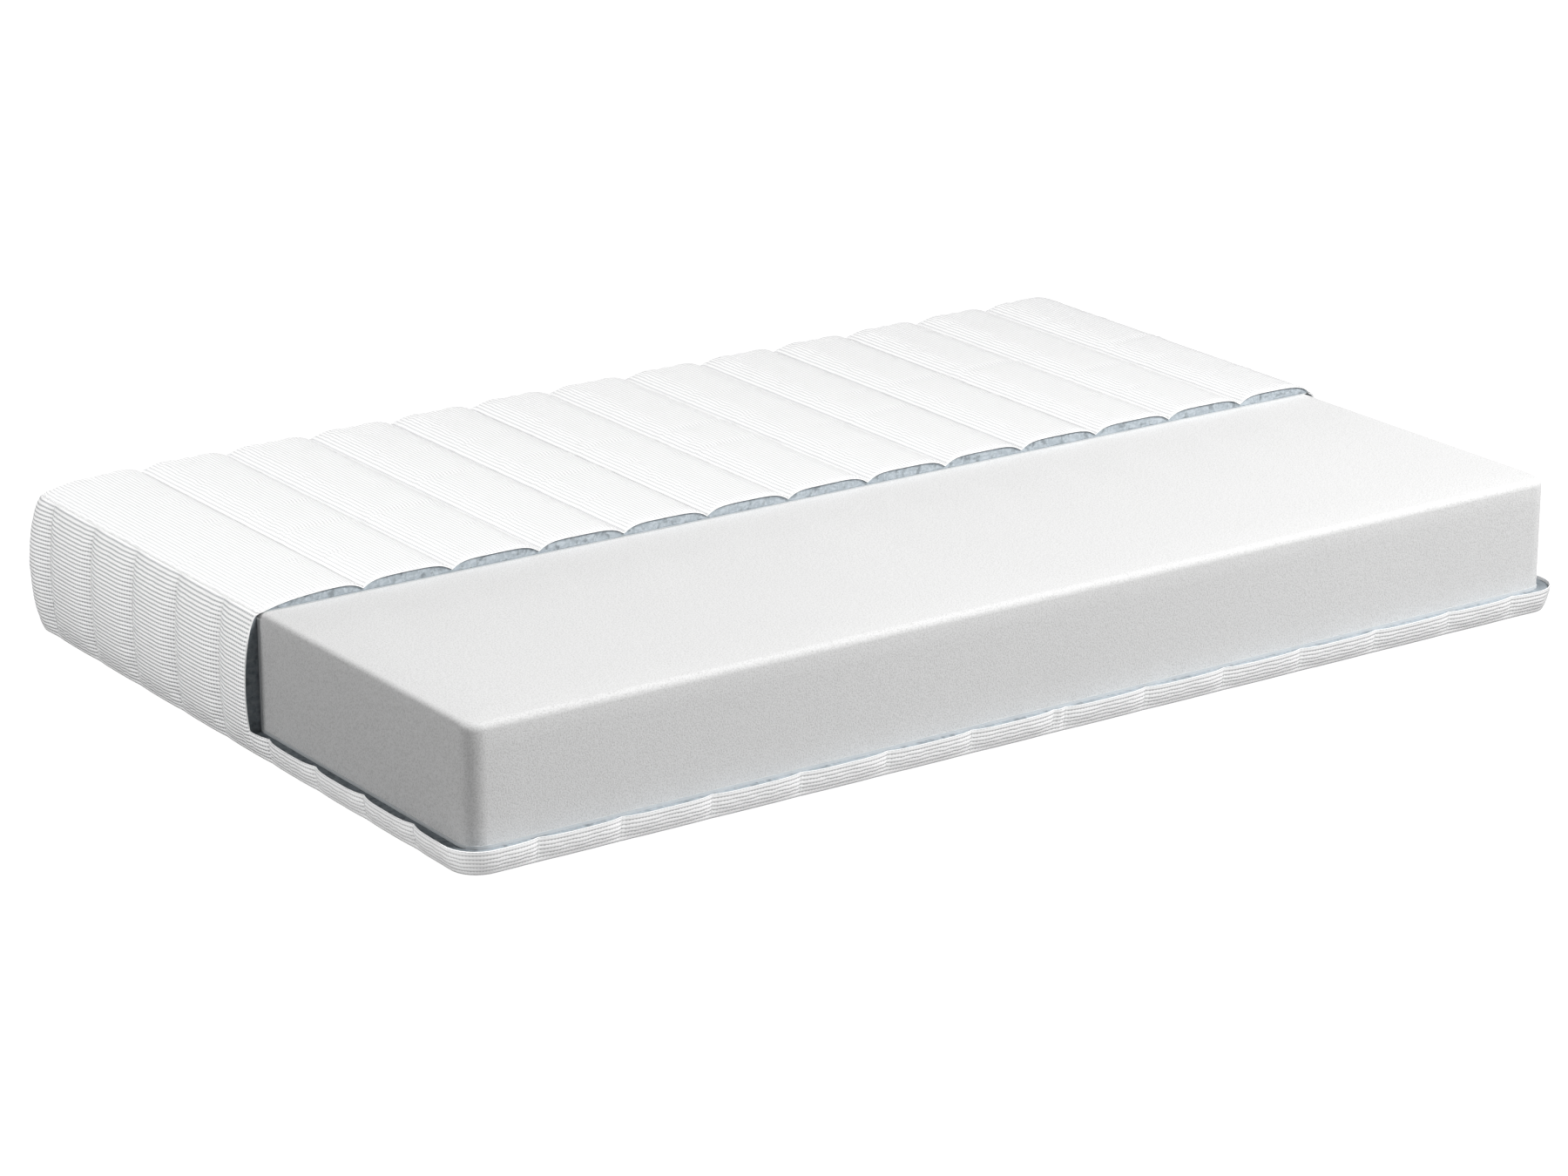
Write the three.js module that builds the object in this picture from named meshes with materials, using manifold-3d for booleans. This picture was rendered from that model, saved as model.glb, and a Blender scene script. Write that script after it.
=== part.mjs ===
// Foam mattress in a quilted knit cover, shown with its front half cut open.
//
// Frame: millimetres, +X along the mattress, -Y towards the side that is cut open, +Z up, with the
// origin at the centre of the underside. The cover is three layers on every side: a lining against
// the foam, wadding, and a knit outside. A zip in the long side at +Y closes the cover.

import * as THREE from "three";
import { mergeVertices } from "three/addons/utils/BufferGeometryUtils.js";
import Module from "manifold-3d";

const wasm = await Module();
wasm.setup();

// ---- Driving dimensions ----------------------------------------------------------------------

// Foam core: one block with rounded upright corners and rounded long edges.
const FOAM_LENGTH = 1970;
const FOAM_WIDTH = 1270;
const FOAM_HEIGHT = 200;
const FOAM_CORNER_RADIUS = 30;
const FOAM_EDGE_RADIUS = 12;

// Cover layers, from the foam outwards, with the gap that keeps neighbouring layers apart.
const GAP = 0.3;
const LINING = 1;
const KNIT = 2;
const BASE_WADDING = 10.4;

// Quilting: stitch lines that cross the mattress, in the top and in the base.
const STITCH_COUNT = 12;
const STITCH_PITCH = 150;
const FIRST_STITCH = 172;
const THREAD_RADIUS = 0.5;
const CHANNEL_STEPS = 8;
const CHANNEL_POWER = 4;
const END_CHANNEL_POWER = 2;

// Heights of the top panel's outer face above the foam.
const TOP_CROWN = 19;
const TOP_VALLEY = 8;
const TOP_EDGE = 4.5;

// The base panel stands flat on its channels and is drawn up at each stitch line.
const BASE_VALLEY = 1.6;
const BASE_VALLEY_REACH = 12;
const BASE_OVERHANG = 5.5;

// Border: how far its outer face stands off the foam at the foot, at its fullest and at the top.
const BORDER_FOOT = 9;
const BORDER_FOOT_Z = 3.2;
const BORDER_BULGE = 30;
const BORDER_BULGE_Z = 116;
const BORDER_TOP = 3;
const BORDER_LINING_Z = 4.2;
const CORNER_STEPS = 6;

// Cutaway: everything above the rim and in front of the cut plane is taken off the cover.
const CUT_FROM_FRONT = 572;
const RIM_HEIGHT = 38.5;

// Perimeter seams.
const SEAM_RADIUS = 1.1;
const SEAM_SIDES = 8;
const BASE_SEAM_OFFSET = 8.4;
const TOP_SEAM_OFFSET = 2.7;

// Zip in the back of the border.
const ZIP_Z = 116;
const ZIP_HALF_LENGTH = 920;
const RECESS_HALF_LENGTH = 950;
const RECESS_HEIGHT = 40;
const RECESS_FLOOR = 5;
const TAPE_THICKNESS = 0.8;
const TAPE_OFFSET = 7.3;
const TAPE_HALF_GAP = 1;
const TAPE_WIDTH = 15;
const TAPE_OVERRUN = 20;
const COIL_WIDTH = 2.6;
const COIL_THICKNESS = 2.2;
const COIL_HALF_GAP = 0.6;
const STOP_LENGTH = 5;

// Zip slider and pull tab. The tab's pin turns in the tunnel under the slider's bridge.
const SLIDER_HALF_LENGTH = 6;
const SLIDER_WIDE = 5.8;
const SLIDER_NARROW = 4.8;
const PLATE_THICKNESS = 1.2;
const SLIDER_CLEARANCE = 0.4;
const FLANGE_HEIGHT = 1.6;
const FLANGE_THICKNESS = 0.9;
const WEB_THICKNESS = 0.6;
const WEB_LENGTH = 4;
const BRIDGE_WIDTH = 2.4;
const BRIDGE_HALF_LENGTH = 5;
const BRIDGE_TUNNEL = 3.2;
const BRIDGE_THICKNESS = 1.2;
const PIN_HEIGHT = 1.5;
const TAB_THICKNESS = 1.2;
const TAB_LENGTH = 28;
const TAB_HALF_WIDTH = 4;
const TAB_EYE_HALF_WIDTH = 1.9;
const TAB_EYE_START = 0.9;
const TAB_EYE_END = 6.4;
const SLIDER_END_GAP = 2;

// ---- How finely curves are drawn, and how the border's side curve is pulled --------------------

const MERGE_TOLERANCE = 1e-3;
const THREAD_SIDES = 8;
const FOAM_EDGE_STEPS = 4;
const BORDER_LOWER_STEPS = 7;
const BORDER_UPPER_STEPS = 8;
const FOOT_PULL_OUT = 0.85;
const FOOT_PULL_UP = 4;
const LOWER_PULL_UP = 0.6;
const UPPER_PULL_UP = 0.78;
const TOP_PULL_OUT = 0.7;
const TOP_PULL_UP = 0.94;

// ---- Levels that follow from them ------------------------------------------------------------

const HALF_LENGTH = FOAM_LENGTH / 2;
const HALF_WIDTH = FOAM_WIDTH / 2;
const BASE_WADDING_TOP = KNIT + GAP + BASE_WADDING;
const BASE_LINING_BOTTOM = BASE_WADDING_TOP + GAP;
const FOAM_BOTTOM = BASE_LINING_BOTTOM + LINING + GAP;
const FOAM_TOP = FOAM_BOTTOM + FOAM_HEIGHT;
const CUT_Y = CUT_FROM_FRONT - HALF_WIDTH;
const FIRST_STITCH_X = FIRST_STITCH - HALF_LENGTH;
const COIL_OFFSET = TAPE_OFFSET + TAPE_THICKNESS + GAP;

// ---- Materials -------------------------------------------------------------------------------

const finish = (color, roughness, metalness = 0) =>
  new THREE.MeshStandardMaterial({ color, roughness, metalness });

const foamFinish = () => finish(0xf1f1ee, 0.9);
const knitFinish = () => finish(0xf7f7f6, 0.85);
const waddingFinish = () => finish(0xc4d0d8, 0.95);
const liningFinish = () => finish(0xdfe3e6, 0.9);
const threadFinish = () => finish(0xffffff, 0.7);
const tapeFinish = () => finish(0xe9e9e7, 0.8);
const coilFinish = () => finish(0xf2f2f0, 0.45);
const metalFinish = () => finish(0xb9bcc0, 0.35, 1);

// ---- Helpers ---------------------------------------------------------------------------------

/** A closed three.js geometry as a manifold-3d solid. */
function solid(geometry) {
  const bare = new THREE.BufferGeometry();
  bare.setAttribute("position", geometry.getAttribute("position").clone());
  if (geometry.index) bare.setIndex(geometry.index.clone());
  const merged = mergeVertices(bare, MERGE_TOLERANCE);
  return new wasm.Manifold(new wasm.Mesh({
    numProp: 3,
    vertProperties: new Float32Array(merged.getAttribute("position").array),
    triVerts: new Uint32Array(merged.index.array),
  }));
}

/** A manifold-3d solid back as a three.js geometry. */
function geometryOf(shape) {
  const mesh = shape.getMesh();
  const geometry = new THREE.BufferGeometry();
  geometry.setAttribute("position", new THREE.BufferAttribute(mesh.vertProperties, 3));
  geometry.setIndex(new THREE.BufferAttribute(mesh.triVerts, 1));
  geometry.computeVertexNormals();
  return geometry;
}

/** A named mesh from a geometry or a manifold-3d solid. */
function piece(name, shape, material) {
  const geometry = shape.isBufferGeometry ? shape : geometryOf(shape);
  const mesh = new THREE.Mesh(geometry, material);
  mesh.name = name;
  return mesh;
}

/** A box between two corners. */
function box(low, high) {
  const geometry = new THREE.BoxGeometry(high[0] - low[0], high[1] - low[1], high[2] - low[2]);
  return geometry.translate((low[0] + high[0]) / 2, (low[1] + high[1]) / 2, (low[2] + high[2]) / 2);
}

/** A section drawn in X and Z, carried along Y from one place to another. */
function carriedAlongY(outline, fromY, toY) {
  const shape = new THREE.Shape(outline);
  const geometry = new THREE.ExtrudeGeometry(shape, { depth: toY - fromY, bevelEnabled: false });
  return geometry.rotateX(Math.PI / 2).translate(0, toY, 0);
}

/** The mattress's plan, a rounded rectangle that stands off the foam by a given distance. */
function planShape(offset) {
  const halfLength = HALF_LENGTH + offset;
  const halfWidth = HALF_WIDTH + offset;
  const radius = FOAM_CORNER_RADIUS + offset;
  const shape = new THREE.Shape();
  shape.moveTo(-halfLength + radius, -halfWidth);
  shape.absarc(halfLength - radius, -halfWidth + radius, radius, -Math.PI / 2, 0);
  shape.absarc(halfLength - radius, halfWidth - radius, radius, 0, Math.PI / 2);
  shape.absarc(-halfLength + radius, halfWidth - radius, radius, Math.PI / 2, Math.PI);
  shape.absarc(-halfLength + radius, -halfWidth + radius, radius, Math.PI, Math.PI * 1.5);
  return shape;
}

/** An upright block with the mattress's plan, between two heights. */
function planBlock(offset, fromZ, toZ) {
  const settings = { depth: toZ - fromZ, bevelEnabled: false, curveSegments: CORNER_STEPS };
  return new THREE.ExtrudeGeometry(planShape(offset), settings).translate(0, 0, fromZ);
}

/**
 * A ring round the foam with a section given as distance off the foam and height. It is turned as
 * a round ring, and then its four quarters are moved out to the corners, which stretches the faces
 * between them into the straight sides.
 */
function perimeterRing(section) {
  const profile = [...section, section[0]]
    .map((point) => new THREE.Vector2(FOAM_CORNER_RADIUS + point.x, point.y));
  const segments = 4 * CORNER_STEPS;
  const ring = new THREE.LatheGeometry(profile, segments, Math.PI / segments);
  ring.rotateX(Math.PI / 2);
  const position = ring.getAttribute("position");
  for (let i = 0; i < position.count; i += 1) {
    const x = position.getX(i);
    const y = position.getY(i);
    position.setX(i, x + Math.sign(x) * (HALF_LENGTH - FOAM_CORNER_RADIUS));
    position.setY(i, y + Math.sign(y) * (HALF_WIDTH - FOAM_CORNER_RADIUS));
  }
  return ring;
}

/** A round section for a seam, centred at a distance off the foam and a height. */
function seamSection(offset, height) {
  const points = [];
  for (let i = 0; i < SEAM_SIDES; i += 1) {
    const angle = (2 * Math.PI * i) / SEAM_SIDES;
    points.push(new THREE.Vector2(
      offset + SEAM_RADIUS * Math.cos(angle),
      height + SEAM_RADIUS * Math.sin(angle),
    ));
  }
  return points;
}

/** What the cutaway takes off the cover. */
function cutawayBlock() {
  const beyond = 2 * FOAM_LENGTH;
  return solid(box([-beyond, -beyond, RIM_HEIGHT], [beyond, CUT_Y, beyond]));
}

/** What the zip's recess takes out of the back of the border. */
function recessBlock() {
  const low = [-RECESS_HALF_LENGTH, HALF_WIDTH + RECESS_FLOOR, ZIP_Z - RECESS_HEIGHT / 2];
  const high = [RECESS_HALF_LENGTH, HALF_WIDTH + 3 * BORDER_BULGE, ZIP_Z + RECESS_HEIGHT / 2];
  return solid(box(low, high));
}

/** A straight length of thread along Y. */
function threadLength(length) {
  return new THREE.CylinderGeometry(THREAD_RADIUS, THREAD_RADIUS, length, THREAD_SIDES);
}

const stitchX = (index) => FIRST_STITCH_X + index * STITCH_PITCH;
const numbered = (name, index) => `${name}_${String(index + 1).padStart(2, "0")}`;

// ---- Foam ------------------------------------------------------------------------------------

function foamCore() {
  const geometry = new THREE.ExtrudeGeometry(planShape(0), {
    depth: FOAM_HEIGHT - 2 * FOAM_EDGE_RADIUS,
    bevelThickness: FOAM_EDGE_RADIUS,
    bevelSize: FOAM_EDGE_RADIUS,
    bevelOffset: -FOAM_EDGE_RADIUS,
    bevelSegments: FOAM_EDGE_STEPS,
    curveSegments: CORNER_STEPS,
  });
  geometry.translate(0, 0, FOAM_BOTTOM + FOAM_EDGE_RADIUS);
  return piece("foam_core", geometry, foamFinish());
}

// ---- Top panel -------------------------------------------------------------------------------

/** The outer face of the top panel along X, as height above the foam, one channel after another. */
function topOutline() {
  const limits = [-HALF_LENGTH];
  for (let i = 0; i < STITCH_COUNT; i += 1) limits.push(stitchX(i));
  limits.push(HALF_LENGTH);
  const points = [];
  for (let channel = 0; channel + 1 < limits.length; channel += 1) {
    const first = channel === 0;
    const last = channel + 2 === limits.length;
    const startHeight = first ? TOP_EDGE : TOP_VALLEY;
    const endHeight = last ? TOP_EDGE : TOP_VALLEY;
    const power = first || last ? END_CHANNEL_POWER : CHANNEL_POWER;
    for (let step = first ? 0 : 1; step <= CHANNEL_STEPS; step += 1) {
      const along = step / CHANNEL_STEPS;
      const floor = THREE.MathUtils.lerp(startHeight, endHeight, along);
      const swell = 1 - Math.abs(2 * along - 1) ** power;
      const x = THREE.MathUtils.lerp(limits[channel], limits[channel + 1], along);
      points.push(new THREE.Vector2(x, floor + (TOP_CROWN - floor) * swell));
    }
  }
  return points;
}

/** A layer of the top panel between two outlines, cut to the plan and opened at the front. */
function topLayer(upper, lower, cutaway) {
  const outline = [...lower, ...[...upper].reverse()];
  const run = solid(carriedAlongY(outline, -FOAM_WIDTH, FOAM_WIDTH));
  const plan = solid(planBlock(0, FOAM_TOP, FOAM_TOP + 2 * TOP_CROWN));
  return run.intersect(plan).subtract(cutaway);
}

function topPanel(cutaway) {
  const raised = (points, amount) =>
    points.map((point) => new THREE.Vector2(point.x, FOAM_TOP + point.y + amount));
  const outline = topOutline();
  const liningBottom = FOAM_TOP + GAP;
  const waddingBottom = liningBottom + LINING + GAP;
  const waddingFloor = [
    new THREE.Vector2(-HALF_LENGTH, waddingBottom),
    new THREE.Vector2(HALF_LENGTH, waddingBottom),
  ];
  const lining = solid(planBlock(0, liningBottom, liningBottom + LINING)).subtract(cutaway);
  const wadding = topLayer(raised(outline, -KNIT - GAP), waddingFloor, cutaway);
  const knit = topLayer(raised(outline, 0), raised(outline, -KNIT), cutaway);
  return [
    piece("top_lining", lining, liningFinish()),
    piece("top_wadding", wadding, waddingFinish()),
    piece("top_knit", knit, knitFinish()),
  ];
}

/** One stitch line of the top panel, lying in its valley from the cut to the back edge. */
function topThread(index) {
  const length = HALF_WIDTH - CUT_Y - 4 * SEAM_RADIUS;
  const rise = THREAD_RADIUS + 2 * GAP;
  const geometry = threadLength(length);
  const thread = piece(numbered("top_quilt_thread", index), geometry, threadFinish());
  thread.position.set(stitchX(index), CUT_Y + GAP + length / 2, FOAM_TOP + TOP_VALLEY + rise);
  return thread;
}

// ---- Base panel ------------------------------------------------------------------------------

/** The underside of the base panel along X: flat on the floor, drawn up at each stitch line. */
function baseOutline(lift) {
  const end = FOAM_LENGTH;
  const points = [new THREE.Vector2(-end, lift)];
  for (let i = 0; i < STITCH_COUNT; i += 1) {
    const x = stitchX(i);
    points.push(new THREE.Vector2(x - BASE_VALLEY_REACH, lift));
    points.push(new THREE.Vector2(x, lift + BASE_VALLEY));
    points.push(new THREE.Vector2(x + BASE_VALLEY_REACH, lift));
  }
  points.push(new THREE.Vector2(end, lift));
  return points;
}

/** A layer of the base panel between two outlines, cut to the plan. */
function baseLayer(lower, upper, offset) {
  const outline = [...lower, ...[...upper].reverse()];
  const run = solid(carriedAlongY(outline, -FOAM_WIDTH, FOAM_WIDTH));
  return run.intersect(solid(planBlock(offset, -BASE_WADDING, 2 * BASE_WADDING)));
}

function basePanel() {
  const waddingCeiling = [
    new THREE.Vector2(-FOAM_LENGTH, BASE_WADDING_TOP),
    new THREE.Vector2(FOAM_LENGTH, BASE_WADDING_TOP),
  ];
  const knit = baseLayer(baseOutline(0), baseOutline(KNIT), BASE_OVERHANG);
  const wadding = baseLayer(baseOutline(KNIT + GAP), waddingCeiling, 0);
  const lining = planBlock(0, BASE_LINING_BOTTOM, BASE_LINING_BOTTOM + LINING);
  return [
    piece("base_lining", lining, liningFinish()),
    piece("base_wadding", wadding, waddingFinish()),
    piece("base_knit", knit, knitFinish()),
  ];
}

/** One stitch line of the base panel, lying in its valley clear of the floor. */
function baseThread(index) {
  const length = FOAM_WIDTH - 4 * SEAM_RADIUS;
  const geometry = threadLength(length);
  const thread = piece(numbered("base_quilt_thread", index), geometry, threadFinish());
  thread.position.set(stitchX(index), 0, BASE_VALLEY - THREAD_RADIUS - GAP);
  return thread;
}

// ---- Border ----------------------------------------------------------------------------------

/** The border's outer face from foot to top, as distance off the foam and height. */
function borderOutline() {
  const fullest = new THREE.Vector2(BORDER_BULGE, BORDER_BULGE_Z);
  const lower = new THREE.CubicBezierCurve(
    new THREE.Vector2(BORDER_FOOT, BORDER_FOOT_Z),
    new THREE.Vector2(FOOT_PULL_OUT * BORDER_BULGE, FOOT_PULL_UP * BORDER_FOOT_Z),
    new THREE.Vector2(BORDER_BULGE, LOWER_PULL_UP * BORDER_BULGE_Z),
    fullest,
  );
  const upper = new THREE.CubicBezierCurve(
    fullest,
    new THREE.Vector2(BORDER_BULGE, UPPER_PULL_UP * FOAM_TOP),
    new THREE.Vector2(TOP_PULL_OUT * BORDER_BULGE, TOP_PULL_UP * FOAM_TOP),
    new THREE.Vector2(BORDER_TOP, FOAM_TOP + GAP),
  );
  const foot = lower.getPoints(BORDER_LOWER_STEPS);
  return [...foot, ...upper.getPoints(BORDER_UPPER_STEPS).slice(1)];
}

/** An outline moved towards the foam by a distance, square to its own direction. */
function movedInwards(points, distance) {
  return points.map((point, i) => {
    const before = points[Math.max(i - 1, 0)];
    const after = points[Math.min(i + 1, points.length - 1)];
    const along = after.clone().sub(before).normalize();
    return new THREE.Vector2(point.x - along.y * distance, point.y + along.x * distance);
  });
}

function borderSections() {
  const outline = borderOutline();
  const innerLimit = LINING + 2 * GAP;
  const knit = [...outline, ...movedInwards(outline, KNIT).reverse()];
  const face = movedInwards(outline, KNIT + GAP).filter((point) => point.x > innerLimit + GAP);
  const wadding = [
    new THREE.Vector2(innerLimit, face[0].y),
    ...face,
    new THREE.Vector2(innerLimit, face[face.length - 1].y),
  ];
  const lining = [
    new THREE.Vector2(GAP, BORDER_LINING_Z),
    new THREE.Vector2(GAP + LINING, BORDER_LINING_Z),
    new THREE.Vector2(GAP + LINING, FOAM_TOP - LINING),
    new THREE.Vector2(GAP, FOAM_TOP - LINING),
  ];
  return { knit, wadding, lining };
}

function border(cutaway, recess) {
  const sections = borderSections();
  const lining = solid(perimeterRing(sections.lining)).subtract(cutaway);
  const wadding = solid(perimeterRing(sections.wadding)).subtract(cutaway).subtract(recess);
  const knit = solid(perimeterRing(sections.knit)).subtract(cutaway).subtract(recess);
  return [
    piece("border_lining", lining, liningFinish()),
    piece("border_wadding", wadding, waddingFinish()),
    piece("border_knit", knit, knitFinish()),
  ];
}

/** The seams that join the border to the top panel and to the base panel. */
function edgeSeams(cutaway) {
  const topSection = seamSection(TOP_SEAM_OFFSET, FOAM_TOP + 2 * SEAM_RADIUS + GAP);
  const baseSection = seamSection(BASE_SEAM_OFFSET, SEAM_RADIUS + GAP / 2);
  return [
    piece("top_edge_seam", solid(perimeterRing(topSection)).subtract(cutaway), threadFinish()),
    piece("base_edge_seam", perimeterRing(baseSection), threadFinish()),
  ];
}

// ---- Zip -------------------------------------------------------------------------------------

/** One side of the zip: its tape and the coil along the tape's inner edge. Side is 1 or -1. */
function zipSide(name, side) {
  const tapeHalf = ZIP_HALF_LENGTH + TAPE_OVERRUN;
  const tape = new THREE.BoxGeometry(2 * tapeHalf, TAPE_THICKNESS, TAPE_WIDTH);
  const tapeMesh = piece(`zip_tape_${name}`, tape, tapeFinish());
  tapeMesh.position.set(
    0,
    HALF_WIDTH + TAPE_OFFSET + TAPE_THICKNESS / 2,
    ZIP_Z + side * (TAPE_HALF_GAP + TAPE_WIDTH / 2),
  );
  const coil = new THREE.BoxGeometry(2 * ZIP_HALF_LENGTH, COIL_THICKNESS, COIL_WIDTH);
  const coilMesh = piece(`zip_coil_${name}`, coil, coilFinish());
  coilMesh.position.set(
    0,
    HALF_WIDTH + COIL_OFFSET + COIL_THICKNESS / 2,
    ZIP_Z + side * (COIL_HALF_GAP + COIL_WIDTH / 2),
  );
  return [tapeMesh, coilMesh];
}

/** A stop clamped over both coils' ends. Side is 1 or -1. */
function zipStop(name, side) {
  const height = 2 * (COIL_HALF_GAP + COIL_WIDTH);
  const geometry = new THREE.BoxGeometry(STOP_LENGTH, COIL_THICKNESS, height);
  const stop = piece(name, geometry, metalFinish());
  stop.position.set(
    side * (ZIP_HALF_LENGTH + GAP + STOP_LENGTH / 2),
    HALF_WIDTH + COIL_OFFSET + COIL_THICKNESS / 2,
    ZIP_Z,
  );
  return stop;
}

/** A slider plate in X and Z, wider at the end where the zip opens, carried along Y. */
function sliderPlate(fromY, toY) {
  const outline = [
    new THREE.Vector2(-SLIDER_HALF_LENGTH, -SLIDER_WIDE + 1),
    new THREE.Vector2(-SLIDER_HALF_LENGTH + 1, -SLIDER_WIDE),
    new THREE.Vector2(0, -SLIDER_WIDE),
    new THREE.Vector2(SLIDER_HALF_LENGTH, -SLIDER_NARROW),
    new THREE.Vector2(SLIDER_HALF_LENGTH, SLIDER_NARROW),
    new THREE.Vector2(0, SLIDER_WIDE),
    new THREE.Vector2(-SLIDER_HALF_LENGTH + 1, SLIDER_WIDE),
    new THREE.Vector2(-SLIDER_HALF_LENGTH, SLIDER_WIDE - 1),
  ];
  return solid(carriedAlongY(outline, fromY, toY));
}

/** The slider, with Y measured off the foam: two plates, a web between them, flanges, a bridge. */
function sliderShape() {
  const backTop = TAPE_OFFSET - SLIDER_CLEARANCE;
  const frontBottom = COIL_OFFSET + COIL_THICKNESS + SLIDER_CLEARANCE;
  const frontTop = frontBottom + PLATE_THICKNESS;
  const tunnelTop = frontTop + BRIDGE_TUNNEL;
  const bridgeTop = tunnelTop + BRIDGE_THICKNESS;
  const halfBridge = BRIDGE_WIDTH / 2;
  const footInner = BRIDGE_HALF_LENGTH - BRIDGE_THICKNESS;
  const flange = (side) => {
    const edge = side * SLIDER_NARROW;
    const inner = side * (SLIDER_NARROW - FLANGE_THICKNESS);
    const low = [-SLIDER_HALF_LENGTH + 1, frontBottom - FLANGE_HEIGHT, Math.min(edge, inner)];
    const high = [SLIDER_HALF_LENGTH, frontTop, Math.max(edge, inner)];
    return solid(box(low, high));
  };
  const web = box(
    [-SLIDER_HALF_LENGTH + 1, backTop - PLATE_THICKNESS / 2, -WEB_THICKNESS / 2],
    [-SLIDER_HALF_LENGTH + 1 + WEB_LENGTH, frontTop - PLATE_THICKNESS / 2, WEB_THICKNESS / 2],
  );
  const bridge = solid(box(
    [-BRIDGE_HALF_LENGTH, frontTop - PLATE_THICKNESS / 2, -halfBridge],
    [BRIDGE_HALF_LENGTH, bridgeTop, halfBridge],
  )).subtract(solid(box(
    [-footInner, frontTop - PLATE_THICKNESS, -BRIDGE_WIDTH],
    [footInner, tunnelTop, BRIDGE_WIDTH],
  )));
  return sliderPlate(frontBottom, frontTop)
    .add(sliderPlate(backTop - PLATE_THICKNESS, backTop))
    .add(solid(web))
    .add(flange(1))
    .add(flange(-1))
    .add(bridge);
}

/** The pull tab lying along +X from its pin, with the eye that the bridge passes through. */
function tabShape() {
  const tab = new THREE.Shape();
  const start = -TAB_THICKNESS / 2;
  tab.moveTo(start, -TAB_HALF_WIDTH);
  tab.lineTo(TAB_LENGTH - TAB_HALF_WIDTH, -TAB_HALF_WIDTH);
  tab.absarc(TAB_LENGTH - TAB_HALF_WIDTH, 0, TAB_HALF_WIDTH, -Math.PI / 2, Math.PI / 2);
  tab.lineTo(start, TAB_HALF_WIDTH);
  const eye = new THREE.Path();
  eye.moveTo(TAB_EYE_START, -TAB_EYE_HALF_WIDTH);
  eye.lineTo(TAB_EYE_START, TAB_EYE_HALF_WIDTH);
  eye.lineTo(TAB_EYE_END, TAB_EYE_HALF_WIDTH);
  eye.lineTo(TAB_EYE_END, -TAB_EYE_HALF_WIDTH);
  tab.holes.push(eye);
  const settings = { depth: TAB_THICKNESS, bevelEnabled: false, curveSegments: CORNER_STEPS };
  const geometry = new THREE.ExtrudeGeometry(tab, settings);
  return geometry.rotateX(Math.PI / 2).translate(0, TAB_THICKNESS / 2, 0);
}

/** The zip, with its slider closed against the stop at -X. */
function zip() {
  const sliderX = -ZIP_HALF_LENGTH + SLIDER_HALF_LENGTH + SLIDER_END_GAP;
  const frontTop = COIL_OFFSET + COIL_THICKNESS + SLIDER_CLEARANCE + PLATE_THICKNESS;
  const slider = piece("zip_slider", sliderShape(), metalFinish());
  slider.position.set(sliderX, HALF_WIDTH, ZIP_Z);
  const tab = piece("zip_pull_tab", tabShape(), metalFinish());
  tab.position.set(sliderX, HALF_WIDTH + frontTop + PIN_HEIGHT, ZIP_Z);
  return [
    ...zipSide("upper", 1),
    ...zipSide("lower", -1),
    zipStop("zip_stop_closed", -1),
    zipStop("zip_stop_open", 1),
    slider,
    tab,
  ];
}

// ---- Assembly --------------------------------------------------------------------------------

/** The mattress, moved so that the middle of its footprint is over the origin. */
function mattress() {
  const cutaway = cutawayBlock();
  const group = new THREE.Group();
  group.add(foamCore(), ...basePanel(), ...topPanel(cutaway));
  group.add(...border(cutaway, recessBlock()), ...edgeSeams(cutaway), ...zip());
  for (let i = 0; i < STITCH_COUNT; i += 1) group.add(topThread(i), baseThread(i));
  const extent = new THREE.Box3().setFromObject(group, true);
  group.position.y = -(extent.min.y + extent.max.y) / 2;
  return group;
}

export default mattress();
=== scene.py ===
"""A foam mattress in a quilted knit cover whose front half is cut open, built round its CAD frame.

The foam block stands in the foot of the cover. Behind the cut the cover is whole: a lining, wadding
and a waffle knit, quilted in channels, with a zip along the long side at the back. Metres, +Z up.
"""

import sys
import logging
import math
from collections.abc import Callable
from dataclasses import dataclass
from enum import Enum

import bpy
import numpy as np
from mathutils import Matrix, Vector, noise


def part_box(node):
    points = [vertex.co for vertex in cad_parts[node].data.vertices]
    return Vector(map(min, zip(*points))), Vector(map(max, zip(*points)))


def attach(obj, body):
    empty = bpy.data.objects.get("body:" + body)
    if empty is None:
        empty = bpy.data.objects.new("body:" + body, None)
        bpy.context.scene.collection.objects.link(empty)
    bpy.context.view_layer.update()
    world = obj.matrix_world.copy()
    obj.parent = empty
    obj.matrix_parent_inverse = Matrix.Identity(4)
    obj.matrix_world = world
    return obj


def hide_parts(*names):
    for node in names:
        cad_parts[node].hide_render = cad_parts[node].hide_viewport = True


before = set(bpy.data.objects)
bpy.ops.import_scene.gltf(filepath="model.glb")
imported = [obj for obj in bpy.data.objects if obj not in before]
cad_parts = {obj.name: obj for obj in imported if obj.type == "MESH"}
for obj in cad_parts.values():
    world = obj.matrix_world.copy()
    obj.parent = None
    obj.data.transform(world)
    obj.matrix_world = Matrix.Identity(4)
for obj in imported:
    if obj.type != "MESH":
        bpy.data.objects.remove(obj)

MM = 0.001
LOG = logging.getLogger("mattress")

# Two places closer than this are the same place.
NEAR = 1e-6
CORNER_RADIUS = 30 * MM
# How far the knit is out of true between its stitches.
UNEVEN_MOST = 0.7 * MM
UNEVEN_REACH = 60 * MM
UNEVEN_POWER = 2.0
# The sharpest angles, in degrees, that are shaded smooth on cloth and on cut fibre.
CLOTH_ANGLE = 60
FIBRE_ANGLE = 80


# ---- Node graphs -----------------------------------------------------------------------------


Colour = tuple[float, float, float, float]
# What a node's input takes: a number, a colour or another node's socket.
Value = float | Colour | bpy.types.NodeSocket


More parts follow.
